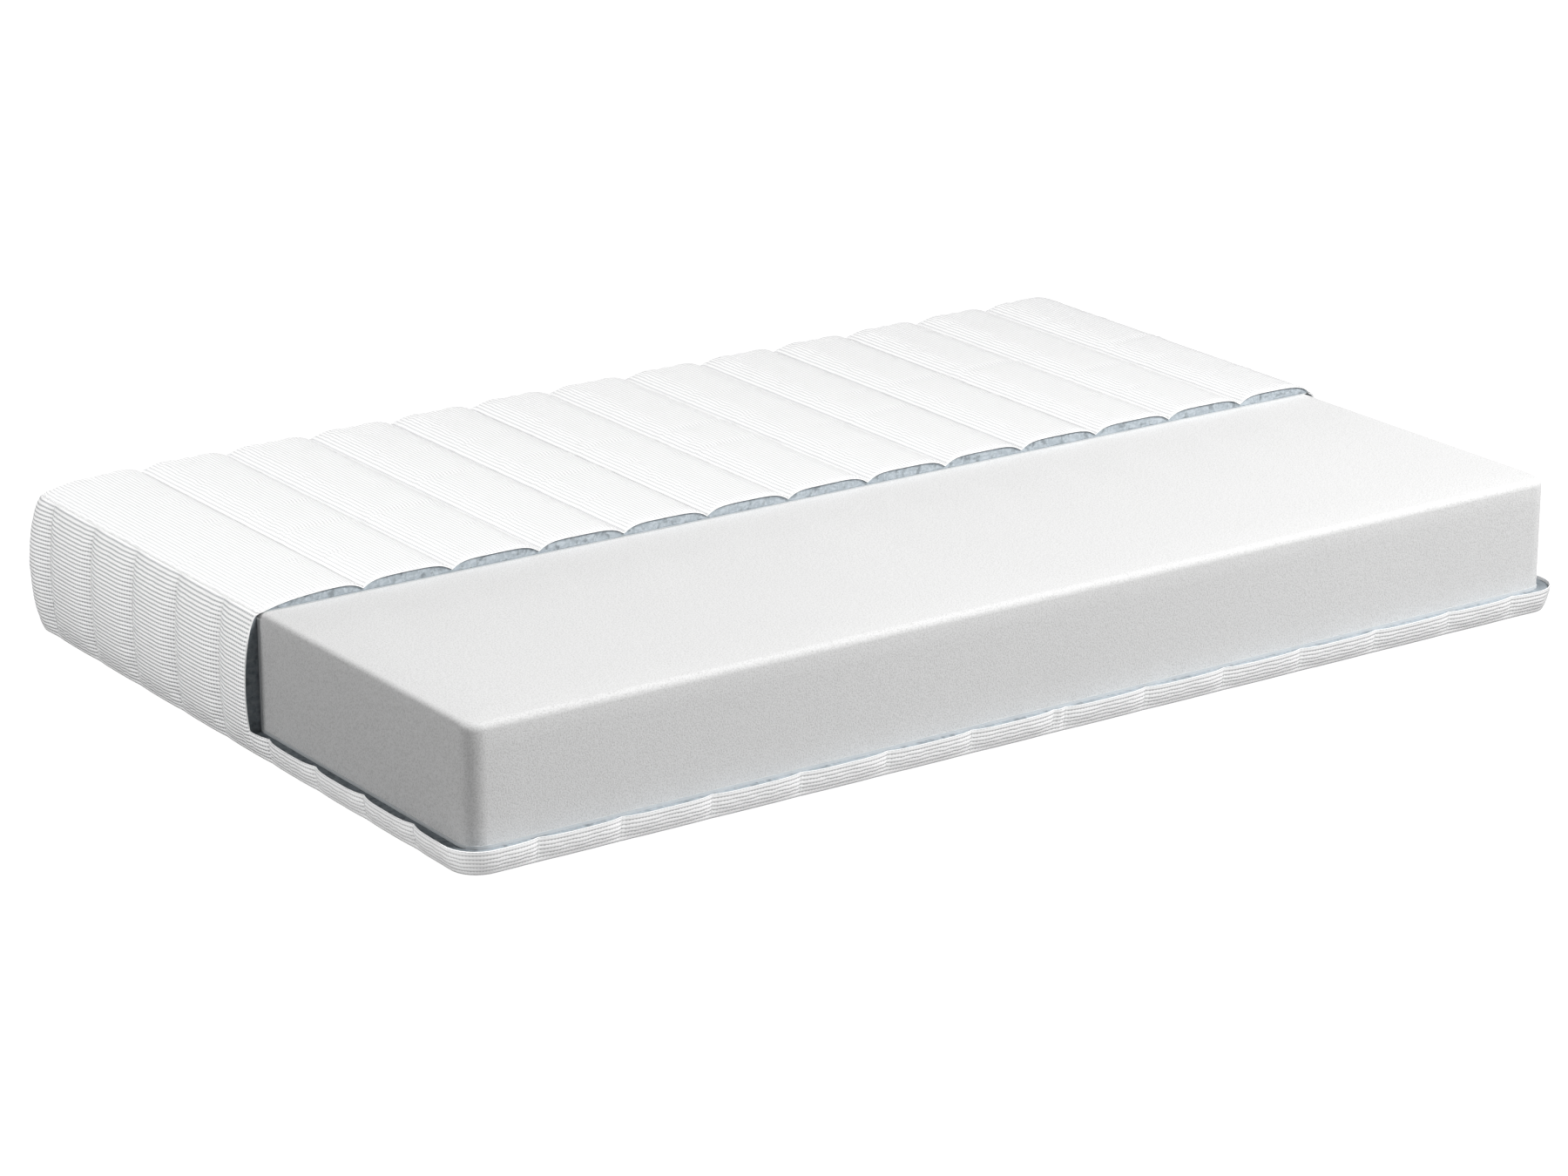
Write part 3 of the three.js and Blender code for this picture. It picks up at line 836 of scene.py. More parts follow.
@dataclass
class Layer:
    """A layer of the cover as two grids of points, rows by columns, and the cells that are there."""

    outer: np.ndarray
    inner: np.ndarray
    kept: np.ndarray
    flat: np.ndarray
    wrapped: bool = False
    steps: int = 1
    # How far the knit is drawn smooth; on the wadding it holds painted shade instead.
    drawn: np.ndarray | float = 0.0

    def build(self, name: str) -> bpy.types.Object:
        """Closes the layer into one mesh, with walls round every edge of it.

        Args:
            name: The piece's name.

        Returns:
            The piece.
        """
        rows, columns = self.outer.shape[:2]
        cell_rows, cell_columns = self.kept.shape
        points, across, drawn_and_shade = [], [], []
        drawn = np.broadcast_to(self.drawn, (rows, columns))
        index: dict[tuple[int, int, int], int] = {}

        def corner(level: int, row: int, column: int) -> int:
            """The number of the point at a level of a grid place, made the first time.

            Args:
                level: Its level, from 0 at the inner face.
                row: Its row.
                column: Its column.

            Returns:
                The point's number.
            """
            column = column % columns if self.wrapped else column
            key = (level, row, column)
            if key not in index:
                share = level / self.steps
                index[key] = len(points)
                points.append(self.outer[row, column] * share + self.inner[row, column] * (1 - share))
                across.append(share)
                drawn_and_shade.append(drawn[row, column])
            return index[key]

        faces, places = [], []

        def face(corners: list[tuple[int, int, int]]) -> None:
            """Adds a face and the flat places of its corners."""
            faces.append([corner(*c) for c in corners])
            places.extend(self.flat[row, column] for _, row, column in corners)

        def there(row: int, column: int) -> bool:
            """Whether the layer has a cell.

            Args:
                row: The cell's row.
                column: The cell's column.

            Returns:
                Whether it is one of the kept cells.
            """
            if self.wrapped:
                column %= cell_columns
            if not (0 <= row < cell_rows and 0 <= column < cell_columns):
                return False
            return bool(self.kept[row, column])

        top = self.steps
        for r, c in np.argwhere(self.kept):
            r, c = int(r), int(c)
            ring = [(r, c), (r, c + 1), (r + 1, c + 1), (r + 1, c)]
            face([(top, *p) for p in ring])
            face([(0, *p) for p in reversed(ring)])
            beyond = [(r - 1, c), (r, c + 1), (r + 1, c), (r, c - 1)]
            for side, cell in enumerate(beyond):
                if there(*cell):
                    continue
                first, second = ring[side], ring[(side + 1) % 4]
                for level in range(self.steps):
                    above = level + 1
                    face([(level, *first), (level, *second), (above, *second), (above, *first)])
        piece = new_piece(name, [tuple(p) for p in points], faces)
        uv = piece.data.uv_layers.new(name="flat")
        uv.data.foreach_set("uv", np.array(places, np.float32).ravel())
        # On the wadding the drawn values are painted shade.
        for label, values in (("across", across), ("drawn", drawn_and_shade)):
            carried = piece.data.attributes.new(label, "FLOAT", "POINT")
            carried.data.foreach_set("value", np.array(values, np.float32))
        face_outwards(piece)
        return piece


def new_piece(name: str, points: list, faces: list) -> bpy.types.Object:
    """A piece with a mesh of its own, from its points and faces.

    Args:
        name: The piece's name.
        points: Its points.
        faces: Its faces, each a list of points by number.

    Returns:
        The piece.
    """
    mesh = bpy.data.meshes.new(name)
    mesh.from_pydata(points, [], faces)
    piece = bpy.data.objects.new(name, mesh)
    bpy.context.scene.collection.objects.link(piece)
    return piece


def face_outwards(piece: bpy.types.Object) -> None:
    """Turns the faces of a closed piece round where they point inwards."""
    if signed_volume(piece.data) < 0:
        piece.data.flip_normals()


def new_box(name: str, low: Vector, high: Vector) -> bpy.types.Object:
    """A box between two corners, with its place and size applied.

    Args:
        name: The piece's name.
        low: Its lowest corner.
        high: Its highest corner.

    Returns:
        The piece, active.
    """
    bpy.ops.object.select_all(action="DESELECT")
    bpy.ops.mesh.primitive_cube_add(size=1, location=(low + high) / 2)
    box = bpy.context.object
    box.name = box.data.name = name
    box.scale = high - low
    bpy.ops.object.transform_apply(location=True, rotation=False, scale=True)
    return box


def cut_across(
    piece: bpy.types.Object, low: Vector, high: Vector, cuts: tuple[tuple[int, int], ...]
) -> None:
    """Cuts a piece's faces into shorter ones with evenly spaced planes across it.

    Args:
        piece: The piece.
        low: Its lowest corner.
        high: Its highest corner.
        cuts: Each axis to go along and how many parts there are on it.
    """
    only(piece)
    for axis, count in cuts:
        normal = Vector((0, 0, 0))
        normal[axis] = 1
        for step in range(1, count):
            place = Vector(low)
            place[axis] = low[axis] + (high[axis] - low[axis]) * step / count
            bpy.ops.object.mode_set(mode="EDIT")
            bpy.ops.mesh.select_all(action="SELECT")
            bpy.ops.mesh.bisect(plane_co=place, plane_no=normal)
            bpy.ops.object.mode_set(mode="OBJECT")


def every_cell(grid: np.ndarray) -> np.ndarray:
    """A flag for each cell of a grid, all of them set."""
    return np.ones((grid.shape[0] - 1, grid.shape[1] - 1), bool)


def signed_volume(mesh: bpy.types.Mesh) -> float:
    """A closed mesh's volume, below 0 where its faces point inwards.

    Args:
        mesh: The mesh.

    Returns:
        The volume in cubic metres.
    """
    mesh.calc_loop_triangles()
    points = np.zeros(len(mesh.vertices) * 3)
    mesh.vertices.foreach_get("co", points)
    points = points.reshape(-1, 3)
    corners = np.zeros(len(mesh.loop_triangles) * 3, np.int32)
    mesh.loop_triangles.foreach_get("vertices", corners)
    a, b, c = (points[corners.reshape(-1, 3)[:, i]] for i in range(3))
    return float(np.einsum("ij,ij->i", a, np.cross(b, c)).sum() / 6)


def grid_normals(grid: np.ndarray, wrapped: bool) -> np.ndarray:
    """The unit normals of a grid of points, from its rows and columns.

    Args:
        grid: The points, rows by columns.
        wrapped: Whether the last column joins the first.

    Returns:
        A unit normal for each point.
    """
    if wrapped:
        wide = np.concatenate([grid[:, -1:], grid, grid[:, :1]], axis=1)
        along = wide[:, 2:] - wide[:, :-2]
    else:
        along = np.gradient(grid, axis=1)
    up = np.gradient(grid, axis=0)
    normal = np.cross(along, up)
    return normal / np.maximum(np.linalg.norm(normal, axis=2, keepdims=True), 1e-12)


@dataclass(frozen=True)
class Cloth:
    """How the sewn knit is let go as cloth between its stitches."""

    pressure: float = 4.0
    slack: float = 0.012
    frames: int = 16
    most_out: float = 2.2 * MM
    most_in: float = 0.25 * MM
    quality: int = 5
    mass: float = 0.3
    bending: float = 0.4

    def moved(
        self, grid: np.ndarray, kept: np.ndarray, pinned: np.ndarray, wrapped: bool
    ) -> np.ndarray:
        """Blows the fabric out a little from where it is sewn down.

        Args:
            grid: The fabric's points, rows by columns.
            kept: The cells that are there.
            pinned: The points that are sewn down.
            wrapped: Whether the last column joins the first.

        Returns:
            How far each point ends up out along its normal, in metres, held within the limits.
        """
        rows, columns = grid.shape[:2]
        cells = np.argwhere(kept)
        after = (cells[:, 1] + 1) % columns if wrapped else cells[:, 1] + 1
        first, second = cells[:, 0] * columns + cells[:, 1], cells[:, 0] * columns + after
        faces = np.stack([first, second, second + columns, first + columns], axis=1)
        fabric = new_piece("cloth", grid.reshape(-1, 3).tolist(), faces.tolist())
        loose = np.ones(rows * columns, bool)
        loose[faces.ravel()] = False
        group = fabric.vertex_groups.new(name="sewn")
        group.add(np.flatnonzero(pinned.ravel() | loose).tolist(), 1.0, "REPLACE")
        self.run(fabric)
        ended = np.zeros(rows * columns * 3)
        shape = fabric.evaluated_get(bpy.context.evaluated_depsgraph_get())
        shape.data.vertices.foreach_get("co", ended)
        step = ended.reshape(grid.shape) - grid
        bpy.data.objects.remove(fabric, do_unlink=True)
        bpy.context.scene.frame_set(1)
        out = (step * grid_normals(grid, wrapped)).sum(axis=2)
        return np.clip(out, -self.most_in, self.most_out)

    def run(self, fabric: bpy.types.Object) -> None:
        """Adds the cloth to the fabric and steps it to its last frame.

        Args:
            fabric: The fabric.
        """
        cloth = fabric.modifiers.new("cloth", "CLOTH")
        settings = cloth.settings
        settings.quality = self.quality
        settings.mass = self.mass
        settings.vertex_group_mass = "sewn"
        settings.use_pressure = True
        settings.uniform_pressure_force = self.pressure
        settings.shrink_min = -self.slack
        settings.bending_stiffness = self.bending
        settings.effector_weights.gravity = 0
        cloth.collision_settings.use_collision = False
        for step in range(1, self.frames + 1):
            bpy.context.scene.frame_set(step)


def settle(piece: bpy.types.Object, finish: Finish, body: str, nodes: list[str]) -> None:
    """Dresses a finished piece and ties it to the frame.

    Args:
        piece: The piece, in place.
        finish: What it is made of.
        body: The body it rides on.
        nodes: The CAD nodes that it stands for.
    """
    piece.data.materials.clear()
    piece.data.materials.append(finish.material())
    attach(piece, body)
    if nodes:
        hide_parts(*nodes)


def finished(
    layer: Layer, name: str, finish: Finish, body: str, node: str, rough: float = 0.0
) -> bpy.types.Object:
    """Builds a layer of the cover, shades it and ties it to the frame.

    Args:
        layer: The layer.
        name: The piece's name.
        finish: What it is made of.
        body: The body it rides on.
        node: The CAD node that it stands for.
        rough: How far its cut fibres are out of place, or 0 for cloth.

    Returns:
        The piece.
    """
    piece = layer.build(name)
    if rough:
        roughen(piece, rough)
    smooth(piece, FIBRE_ANGLE if rough else CLOTH_ANGLE)
    settle(piece, finish, body, [node])
    return piece


def only(piece: bpy.types.Object) -> None:
    """Selects one object and nothing else, and makes it active.

    Args:
        piece: The object.
    """
    bpy.ops.object.select_all(action="DESELECT")
    piece.select_set(True)
    bpy.context.view_layer.objects.active = piece


def smooth(piece: bpy.types.Object, degrees: float) -> None:
    """Shades a piece smooth except across edges sharper than an angle.

    Args:
        piece: The piece.
        degrees: The sharpest angle that is shaded smooth.
    """
    only(piece)
    bpy.ops.object.shade_smooth_by_angle(angle=math.radians(degrees))
    bpy.ops.object.select_all(action="DESELECT")


# ---- Foam ------------------------------------------------------------------------------------


@dataclass
class FoamBlock:
    """The foam core: one block with round upright corners and softly rounded long edges."""

    low: Vector
    high: Vector
    corner_radius: float = CORNER_RADIUS
    corner_steps: int = 10
    edge_radius: float = 12 * MM
    edge_steps: int = 5
    cuts: tuple[tuple[int, int], ...] = ((0, 24), (1, 16), (2, 5))
    sag: float = 0.5 * MM
    sag_scale: float = 4.0
    body: str = "mattress"

    def build(self) -> bpy.types.Object:
        """Cuts the block, rounds it and lets its faces go very slightly out of true.

        Returns:
            The piece.
        """
        block = new_box("foam_block", self.low, self.high)
        self.round_edges(block, self.corner_radius, self.corner_steps, upright=True)
        self.round_edges(block, self.edge_radius, self.edge_steps, upright=False)
        corners = [Vector(corner) for corner in block.bound_box]
        cut_across(block, corners[0], corners[6], self.cuts)
        self.slacken(block)
        smooth(block, 40)
        settle(block, FOAM, self.body, ["foam_core"])
        return block

    @staticmethod
    def round_edges(block: bpy.types.Object, radius: float, segments: int, upright: bool) -> None:
        """Rounds the upright edges or the ones round the top and the bottom.

        Args:
            block: The block, at its place.
            radius: The radius to round with.
            segments: How many steps the round has.
            upright: Whether the edges that run up are meant.
        """
        only(block)
        mesh = block.data
        points = [v.co.z for v in mesh.vertices]
        level = (max(points), min(points))
        bpy.ops.object.mode_set(mode="EDIT")
        bpy.ops.mesh.select_all(action="DESELECT")
        bpy.ops.mesh.select_mode(type="EDGE")
        bpy.ops.object.mode_set(mode="OBJECT")
        for edge in mesh.edges:
            heights = [mesh.vertices[i].co.z for i in edge.vertices]
            runs_up = abs(heights[0] - heights[1]) > radius
            at_end = any(abs(sum(heights) / 2 - z) < NEAR for z in level)
            edge.select = runs_up if upright else (at_end and not runs_up)
        bpy.ops.object.mode_set(mode="EDIT")
        bpy.ops.mesh.bevel(offset=radius, segments=segments, profile=0.5, affect="EDGES")
        bpy.ops.object.mode_set(mode="OBJECT")

    def slacken(self, block: bpy.types.Object) -> None:
        """Moves the surface in a little, as foam is never cut quite flat.

        Args:
            block: The block, at its place.
        """
        mesh = block.data
        normals = [v.normal.copy() for v in mesh.vertices]
        for vertex, normal in zip(mesh.vertices, normals):
            share = (1 + noise.noise(vertex.co * self.sag_scale)) / 2
            vertex.co -= normal * (self.sag * share)


# ---- Cover panels ----------------------------------------------------------------------------


@dataclass
class Quilting:
    """The stitch lines that cross the mattress in the top and in the base."""

    first_x: float
    pitch: float = 150 * MM
    count: int = 12

    def lines(self) -> list[float]:
        """Where the lines are along X."""
        return [self.first_x + self.pitch * i for i in range(self.count)]


def plan_grid(xs: np.ndarray, ys: np.ndarray, radius: float, round_front: bool) -> np.ndarray:
    """A grid over a rectangle whose corners are drawn in to round ones.

    Args:
        xs: The columns, from end to end.
        ys: The rows, from the front to the back.
        radius: The corners' radius.
        round_front: Whether the front corners are round too.

    Returns:
        The grid's places in plan, rows by columns by two.
    """
    grid = np.stack(np.meshgrid(xs, ys), axis=2)
    middle = np.array([(xs[0] + xs[-1]) / 2, (ys[0] + ys[-1]) / 2])
    half = np.array([(xs[-1] - xs[0]) / 2, (ys[-1] - ys[0]) / 2])
    from_middle = grid - middle
    over = np.clip((np.abs(from_middle) - (half - radius)) / radius, 0, 1)
    if not round_front:
        over[..., 1] = np.where(from_middle[..., 1] < 0, 0, over[..., 1])
    drawn = over * np.sqrt(1 - over[..., ::-1] ** 2 / 2)
    moved = np.sign(from_middle) * (drawn - over) * radius
    return grid + moved


def with_height(plan: np.ndarray, height: np.ndarray) -> np.ndarray:
    """A plan grid with a height for each place."""
    return np.concatenate([plan, height[..., None]], axis=2)


@dataclass
class TopPanel:
    """The quilted top of the cover, from the cut to the seam round its other three sides."""

    foam_low: Vector
    foam_high: Vector
    cut_y: float
    quilting: Quilting
    crown: float = 19 * MM
    valley: float = 7.3 * MM
    seam_height: float = 2.0 * MM
    overhang: float = 2.2 * MM
    knit: float = 2.0 * MM
    lining: float = 0.6 * MM
    gap: float = 0.3 * MM
    recess: float = 2.2 * MM
    channel_reach: float = 75 * MM
    channel_power: float = 5.0
    drawn: float = 0.45
    corner_radius: float = 33 * MM
    column_step: float = 9.5 * MM
    row_step: float = 9 * MM
    end_band: float = 20 * MM
    cut_band: float = 4 * MM
    back_band: float = 40 * MM
    left_start: float = 6 * MM
    left_rise: float = 53 * MM
    right_rise: float = 16 * MM
    back_rise: float = 6.5 * MM
    uneven_size: float = 0.12
    uneven_seed: float = 1.7
    lining_inset: float = 5 * MM
    lining_radius: float = 27 * MM
    lining_step: float = 40 * MM
    fibre: float = 0.7 * MM
    stitch: float = 4.6 * MM
    body: str = "mattress"

    def __post_init__(self) -> None:
        """Lays out the columns and rows."""
        left, right = self.foam_low.x - self.overhang, self.foam_high.x + self.overhang
        back = self.foam_high.y + self.overhang
        band = self.end_band
        keys = [left, left + band, *self.quilting.lines(), right - band, right]
        self.xs = spread(keys, self.column_step, 5, 0.45)
        rows = [self.cut_y, self.cut_y + self.cut_band, back - self.back_band, back]
        self.ys = spread(rows, self.row_step, 2, 0.3)
        self.flat_x = self.xs - left

    def height(self, x: np.ndarray, y: np.ndarray) -> np.ndarray:
        """How high the knit's outer face stands over the foam.

        Args:
            x: Places along the mattress.
            y: Places across it, of the same shape.

        Returns:
            The heights.
        """
        left = x - (self.foam_low.x - self.overhang)
        right = self.foam_high.x + self.overhang - x
        back = self.foam_high.y + self.overhang - y
        away = nearest(x.ravel(), self.quilting.lines()).reshape(x.shape)
        risen = swell(away, self.channel_reach, self.channel_power)
        channel = self.valley + (self.crown - self.valley) * risen
        rise = 1 - np.exp(-np.maximum(left - self.left_start, 0) / self.left_rise)
        rise = rise * (1 - np.exp(-np.maximum(right, 0) / self.right_rise))
        rise = rise * (1 - np.exp(-np.maximum(back, 0) / self.back_rise))
        return self.seam_height + rise * (channel - self.seam_height)

    def faces(self, xs: np.ndarray, ys: np.ndarray) -> tuple[np.ndarray, np.ndarray]:
        """The knit's outer face as a grid, and its normals.

        Args:
            xs: The columns.
            ys: The rows.

        Returns:
            The grid of points and the grid of normals.
        """
        plan = plan_grid(xs, ys, self.corner_radius, False)
        gx, gy = np.meshgrid(xs, ys)
        height = self.foam_high.z + self.height(gx, gy)
        places = np.stack([gx, gy, 0 * gx], 2).reshape(-1, 3)
        uneven = unevenness(places, self.uneven_size, self.uneven_seed)
        sewn = [xs[0], xs[-1], *self.quilting.lines()]
        inside = swell(nearest(xs, sewn), UNEVEN_REACH, UNEVEN_POWER)
        height = height + UNEVEN_MOST * uneven.reshape(gx.shape) * inside[None, :]
        outer = with_height(plan, height)
        return outer, grid_normals(outer, False)

    def build(self) -> list[bpy.types.Object]:
        """Makes the knit, the wadding, the lining and the stitches.

        Returns:
            The pieces.
        """
        outer, normals = self.faces(self.xs, self.ys)
        kept = every_cell(outer)
        sewn = np.zeros(outer.shape[:2], bool)
        sewn[[0, 1, -2, -1]] = True
        lines = [self.xs[0], self.xs[-1], *self.quilting.lines()]
        sewn[:, nearest(self.xs, lines) < NEAR] = True
        outer = outer + normals * Cloth().moved(outer, kept, sewn, False)[..., None]
        gx, gy = np.meshgrid(self.flat_x, self.ys - self.cut_y)
        flat = np.stack([gy, gx], axis=2)
        inner = outer - normals * self.knit
        layer = Layer(outer, inner, kept, flat, steps=2, drawn=self.drawn)
        knit = finished(layer, "top_knit_panel", KNIT, self.body, "top_knit")
        under = outer - normals * (self.knit + self.gap)
        floor = self.foam_high.z + 2 * self.gap + self.lining
        under[..., 2] = np.maximum(under[..., 2], floor + self.gap)
        base = with_height(under[..., :2], np.full(under.shape[:2], floor))
        for grid in (under, base):
            grid[0, :, 1] += self.recess
        layer = Layer(under, base, kept, flat, steps=6)
        name = "top_wadding_layer"
        wadding = finished(layer, name, WADDING, self.body, "top_wadding", self.fibre)
        lining = self.build_lining()
        return [knit, wadding, lining, *self.stitches()]

    def build_lining(self) -> bpy.types.Object:
        """The thin lining that lies on the foam.

        Returns:
            The piece.
        """
        inset, step = self.lining_inset, self.lining_step
        xs = spread([self.foam_low.x + inset, self.foam_high.x - inset], step)
        ys = spread([self.cut_y + 0.4 * MM, self.foam_high.y - inset], step)
        plan = plan_grid(xs, ys, self.lining_radius, False)
        low = self.foam_high.z + self.gap
        under = with_height(plan, np.full(plan.shape[:2], low))
        over = with_height(plan, np.full(plan.shape[:2], low + self.lining))
        layer = Layer(over, under, every_cell(plan), plan)
        return finished(layer, "top_lining_sheet", LINING, self.body, "top_lining")

    def stitches(self) -> list[bpy.types.Object]:
        """One row of stitches in each valley.

        Returns:
            The rows of stitches.
        """
        run = spread([self.cut_y + 2 * MM, self.foam_high.y - 3 * MM], self.stitch)

        def level(x: np.ndarray) -> np.ndarray:
            """How high the stitches of one line lie."""
            return self.foam_high.z + self.height(x, run) + 0.15 * MM

        return cross_stitches("top", self.quilting, run, level, self.body)


def cross_stitches(
    side: str, quilting: Quilting, run: np.ndarray, level: Callable, body: str
) -> list[bpy.types.Object]:
    """One row of stitches along each stitch line of a panel.

    Args:
        side: Which panel, top or base.
        quilting: The panel's stitch lines.
        run: Where the stitches of a line start and end, along Y.
        level: How high they lie, from their X.
        body: The body they ride on.

    Returns:
        The rows.
    """
    made = []
    for i, x in enumerate(quilting.lines(), start=1):
        place = np.full(len(run), x)
        line = np.stack([place, run, level(place)], axis=1)
        row = stitch_row(f"{side}_quilt_stitches_{i:02d}", [line])
        settle(row, THREAD, body, [f"{side}_quilt_thread_{i:02d}"])
        made.append(row)
    return made


FIBRE_SCALE = 170.0
FIBRE_SEED = 5
# The walls of a cut lie between these shares of the way across a layer.
CUT_SHARE = (0.01, 0.99)


def roughen(piece: bpy.types.Object, amount: float) -> None:
    """Makes a layer's cut faces fibrous, by moving the points between its outer and inner faces.

    Args:
        piece: The layer's piece.
        amount: The most that a point moves.
    """
    mesh = piece.data
    across = mesh.attributes["across"].data
    noise.seed_set(FIBRE_SEED)
    for vertex in mesh.vertices:
        if CUT_SHARE[0] < across[vertex.index].value < CUT_SHARE[1]:
            vertex.co += noise.noise_vector(vertex.co * FIBRE_SCALE) * amount


def one_stitch() -> tuple[np.ndarray, list[list[int]]]:
    """A single stitch of thread along +Y, modelled once for every row of stitches.

    Returns:
        Its points, in shares of its length and thickness, and its faces.
    """
    bpy.ops.object.select_all(action="DESELECT")
    bpy.ops.mesh.primitive_uv_sphere_add(segments=6, ring_count=5, radius=0.5)
    piece = bpy.context.object
    points = np.array([v.co for v in piece.data.vertices])
    points = points[:, [0, 2, 1]]
    faces = [list(reversed(f.vertices)) for f in piece.data.polygons]
    bpy.data.objects.remove(piece, do_unlink=True)
    return points, faces


STITCH_THICKNESS = 0.9 * MM
STITCH_SHARE = 0.92
# A direction that no stitch runs along, and one for stitches that run straight up.
LEANING = (0.31, 0.27, 0.91)
SIDEWAYS = (1, 0, 0)


def stitch_row(name: str, lines: list[np.ndarray]) -> bpy.types.Object:
    """Rows of stitches, one stitch between each two points of a line.

    Args:
        name: The piece's name.
        lines: The lines, each a list of points a stitch apart.

    Returns:
        The piece.
    """
    shape, shape_faces = one_stitch()
    points, faces = [], []
    for line in lines:
        for start, end in zip(line[:-1], line[1:]):
            along = end - start
            length = np.linalg.norm(along)
            forward = along / length
            side = np.cross(forward, LEANING if abs(forward[2]) < 0.9 else SIDEWAYS)
            side /= np.linalg.norm(side)
            up = np.cross(side, forward)
            turned = (
                shape[:, :1] * side * STITCH_THICKNESS
                + shape[:, 1:2] * forward * length * STITCH_SHARE
                + shape[:, 2:] * up * STITCH_THICKNESS
            )
            first = len(points) * len(shape)
            points.append(turned + (start + end) / 2)
            faces.extend([first + i for i in f] for f in shape_faces)
    piece = new_piece(name, np.concatenate(points).tolist(), faces)
    face_outwards(piece)
    smooth(piece, CLOTH_ANGLE)
    return piece


@dataclass
class BasePanel:
    """The quilted underside of the cover: lining, wadding and knit under the foam."""

    foam_low: Vector
    foam_high: Vector
    quilting: Quilting
    overhang: float = 8.0 * MM
    knit: float = 2.0 * MM
    lining: float = 1.0 * MM
    gap: float = 0.3 * MM
    lift: float = 1.6 * MM
    lift_reach: float = 14 * MM
    edge_band: float = 30 * MM
    knit_step: float = 14 * MM
    wadding_inset: float = 7 * MM
    wadding_step: float = 25 * MM
    lining_inset: float = 9 * MM
    lining_step: float = 60 * MM
    stitch: float = 4.6 * MM
    body: str = "mattress"

    def grids(self, inset: float, step: float) -> tuple[np.ndarray, np.ndarray, np.ndarray]:
        """A plan grid under the foam and how far each place is drawn up.

        Args:
            inset: How far inside the panel's edge the grid ends.
            step: The most between two places.

        Returns:
            The plan, the lift and the flat places.
        """
        reach = self.overhang - inset
        x0, x1 = self.foam_low.x - reach, self.foam_high.x + reach
        y0, y1 = self.foam_low.y - reach, self.foam_high.y + reach
        band = self.edge_band
        xs = spread([x0, x0 + band, *self.quilting.lines(), x1 - band, x1], step, 4, 0.5)
        ys = spread([y0, y0 + band, y1 - band, y1], step, 3)
        plan = plan_grid(xs, ys, CORNER_RADIUS + reach, True)
        away = nearest(xs, self.quilting.lines())
        lift = self.lift * (1 - swell(away, self.lift_reach, 2.0))
        gx, gy = np.meshgrid(xs - x0, ys - y0)
        return plan, np.broadcast_to(lift, plan.shape[:2]), np.stack([gy, gx], axis=2)

    def slab(
        self, name: str, inset: float, step: float, low: float, high: float, follow: bool
    ) -> bpy.types.Object:
        """A flat layer between two heights.

        Args:
            name: The piece's name.
            inset: How far inside the panel's edge it ends.
            step: The most between two of its places.
            low: Its lower face's height.
            high: Its upper face's height.
            follow: Whether its upper face is drawn up too.

        Returns:
            The piece.
        """
        plan, lift, flat = self.grids(inset, step)
        under = with_height(plan, low + lift)
        over = with_height(plan, high + lift * follow)
        piece = Layer(over, under, every_cell(plan), flat).build(name)
        smooth(piece, CLOTH_ANGLE)
        return piece

    def build(self) -> list[bpy.types.Object]:
        """Makes the three layers and the stitches on the underside.

        Returns:
            The pieces.
        """
        knit = self.slab("base_knit_panel", 0, self.knit_step, 0.0, self.knit, True)
        settle(knit, KNIT, self.body, ["base_knit"])
        top = self.foam_low.z - self.lining - 2 * self.gap
        inset, step, low = self.wadding_inset, self.wadding_step, self.knit + self.gap
        wadding = self.slab("base_wadding_layer", inset, step, low, top, False)
        settle(wadding, WADDING, self.body, ["base_wadding"])
        inset, step, low = self.lining_inset, self.lining_step, top + self.gap
        lining = self.slab("base_lining_sheet", inset, step, low, low + self.lining, False)
        flatten(lining, low, low + self.lining)
        settle(lining, LINING, self.body, ["base_lining"])
        return [knit, wadding, lining, *self.stitches()]

    def stitches(self) -> list[bpy.types.Object]:
        """One row of stitches in each drawn-up line of the underside.

        Returns:
            The rows of stitches.
        """
        run = spread([self.foam_low.y + 2 * MM, self.foam_high.y - 2 * MM], self.stitch)

        def level(x: np.ndarray) -> np.ndarray:
            """How high the stitches of one line lie."""
            return np.full(len(x), self.lift - 0.25 * MM)

        return cross_stitches("base", self.quilting, run, level, self.body)


def flatten(piece: bpy.types.Object, low: float, high: float) -> None:
    """Puts every point of a flat layer on its lower or its upper height."""
    for vertex in piece.data.vertices:
        vertex.co.z = low if vertex.co.z < (low + high) / 2 + 0.4 * MM else high


# ---- Border ----------------------------------------------------------------------------------


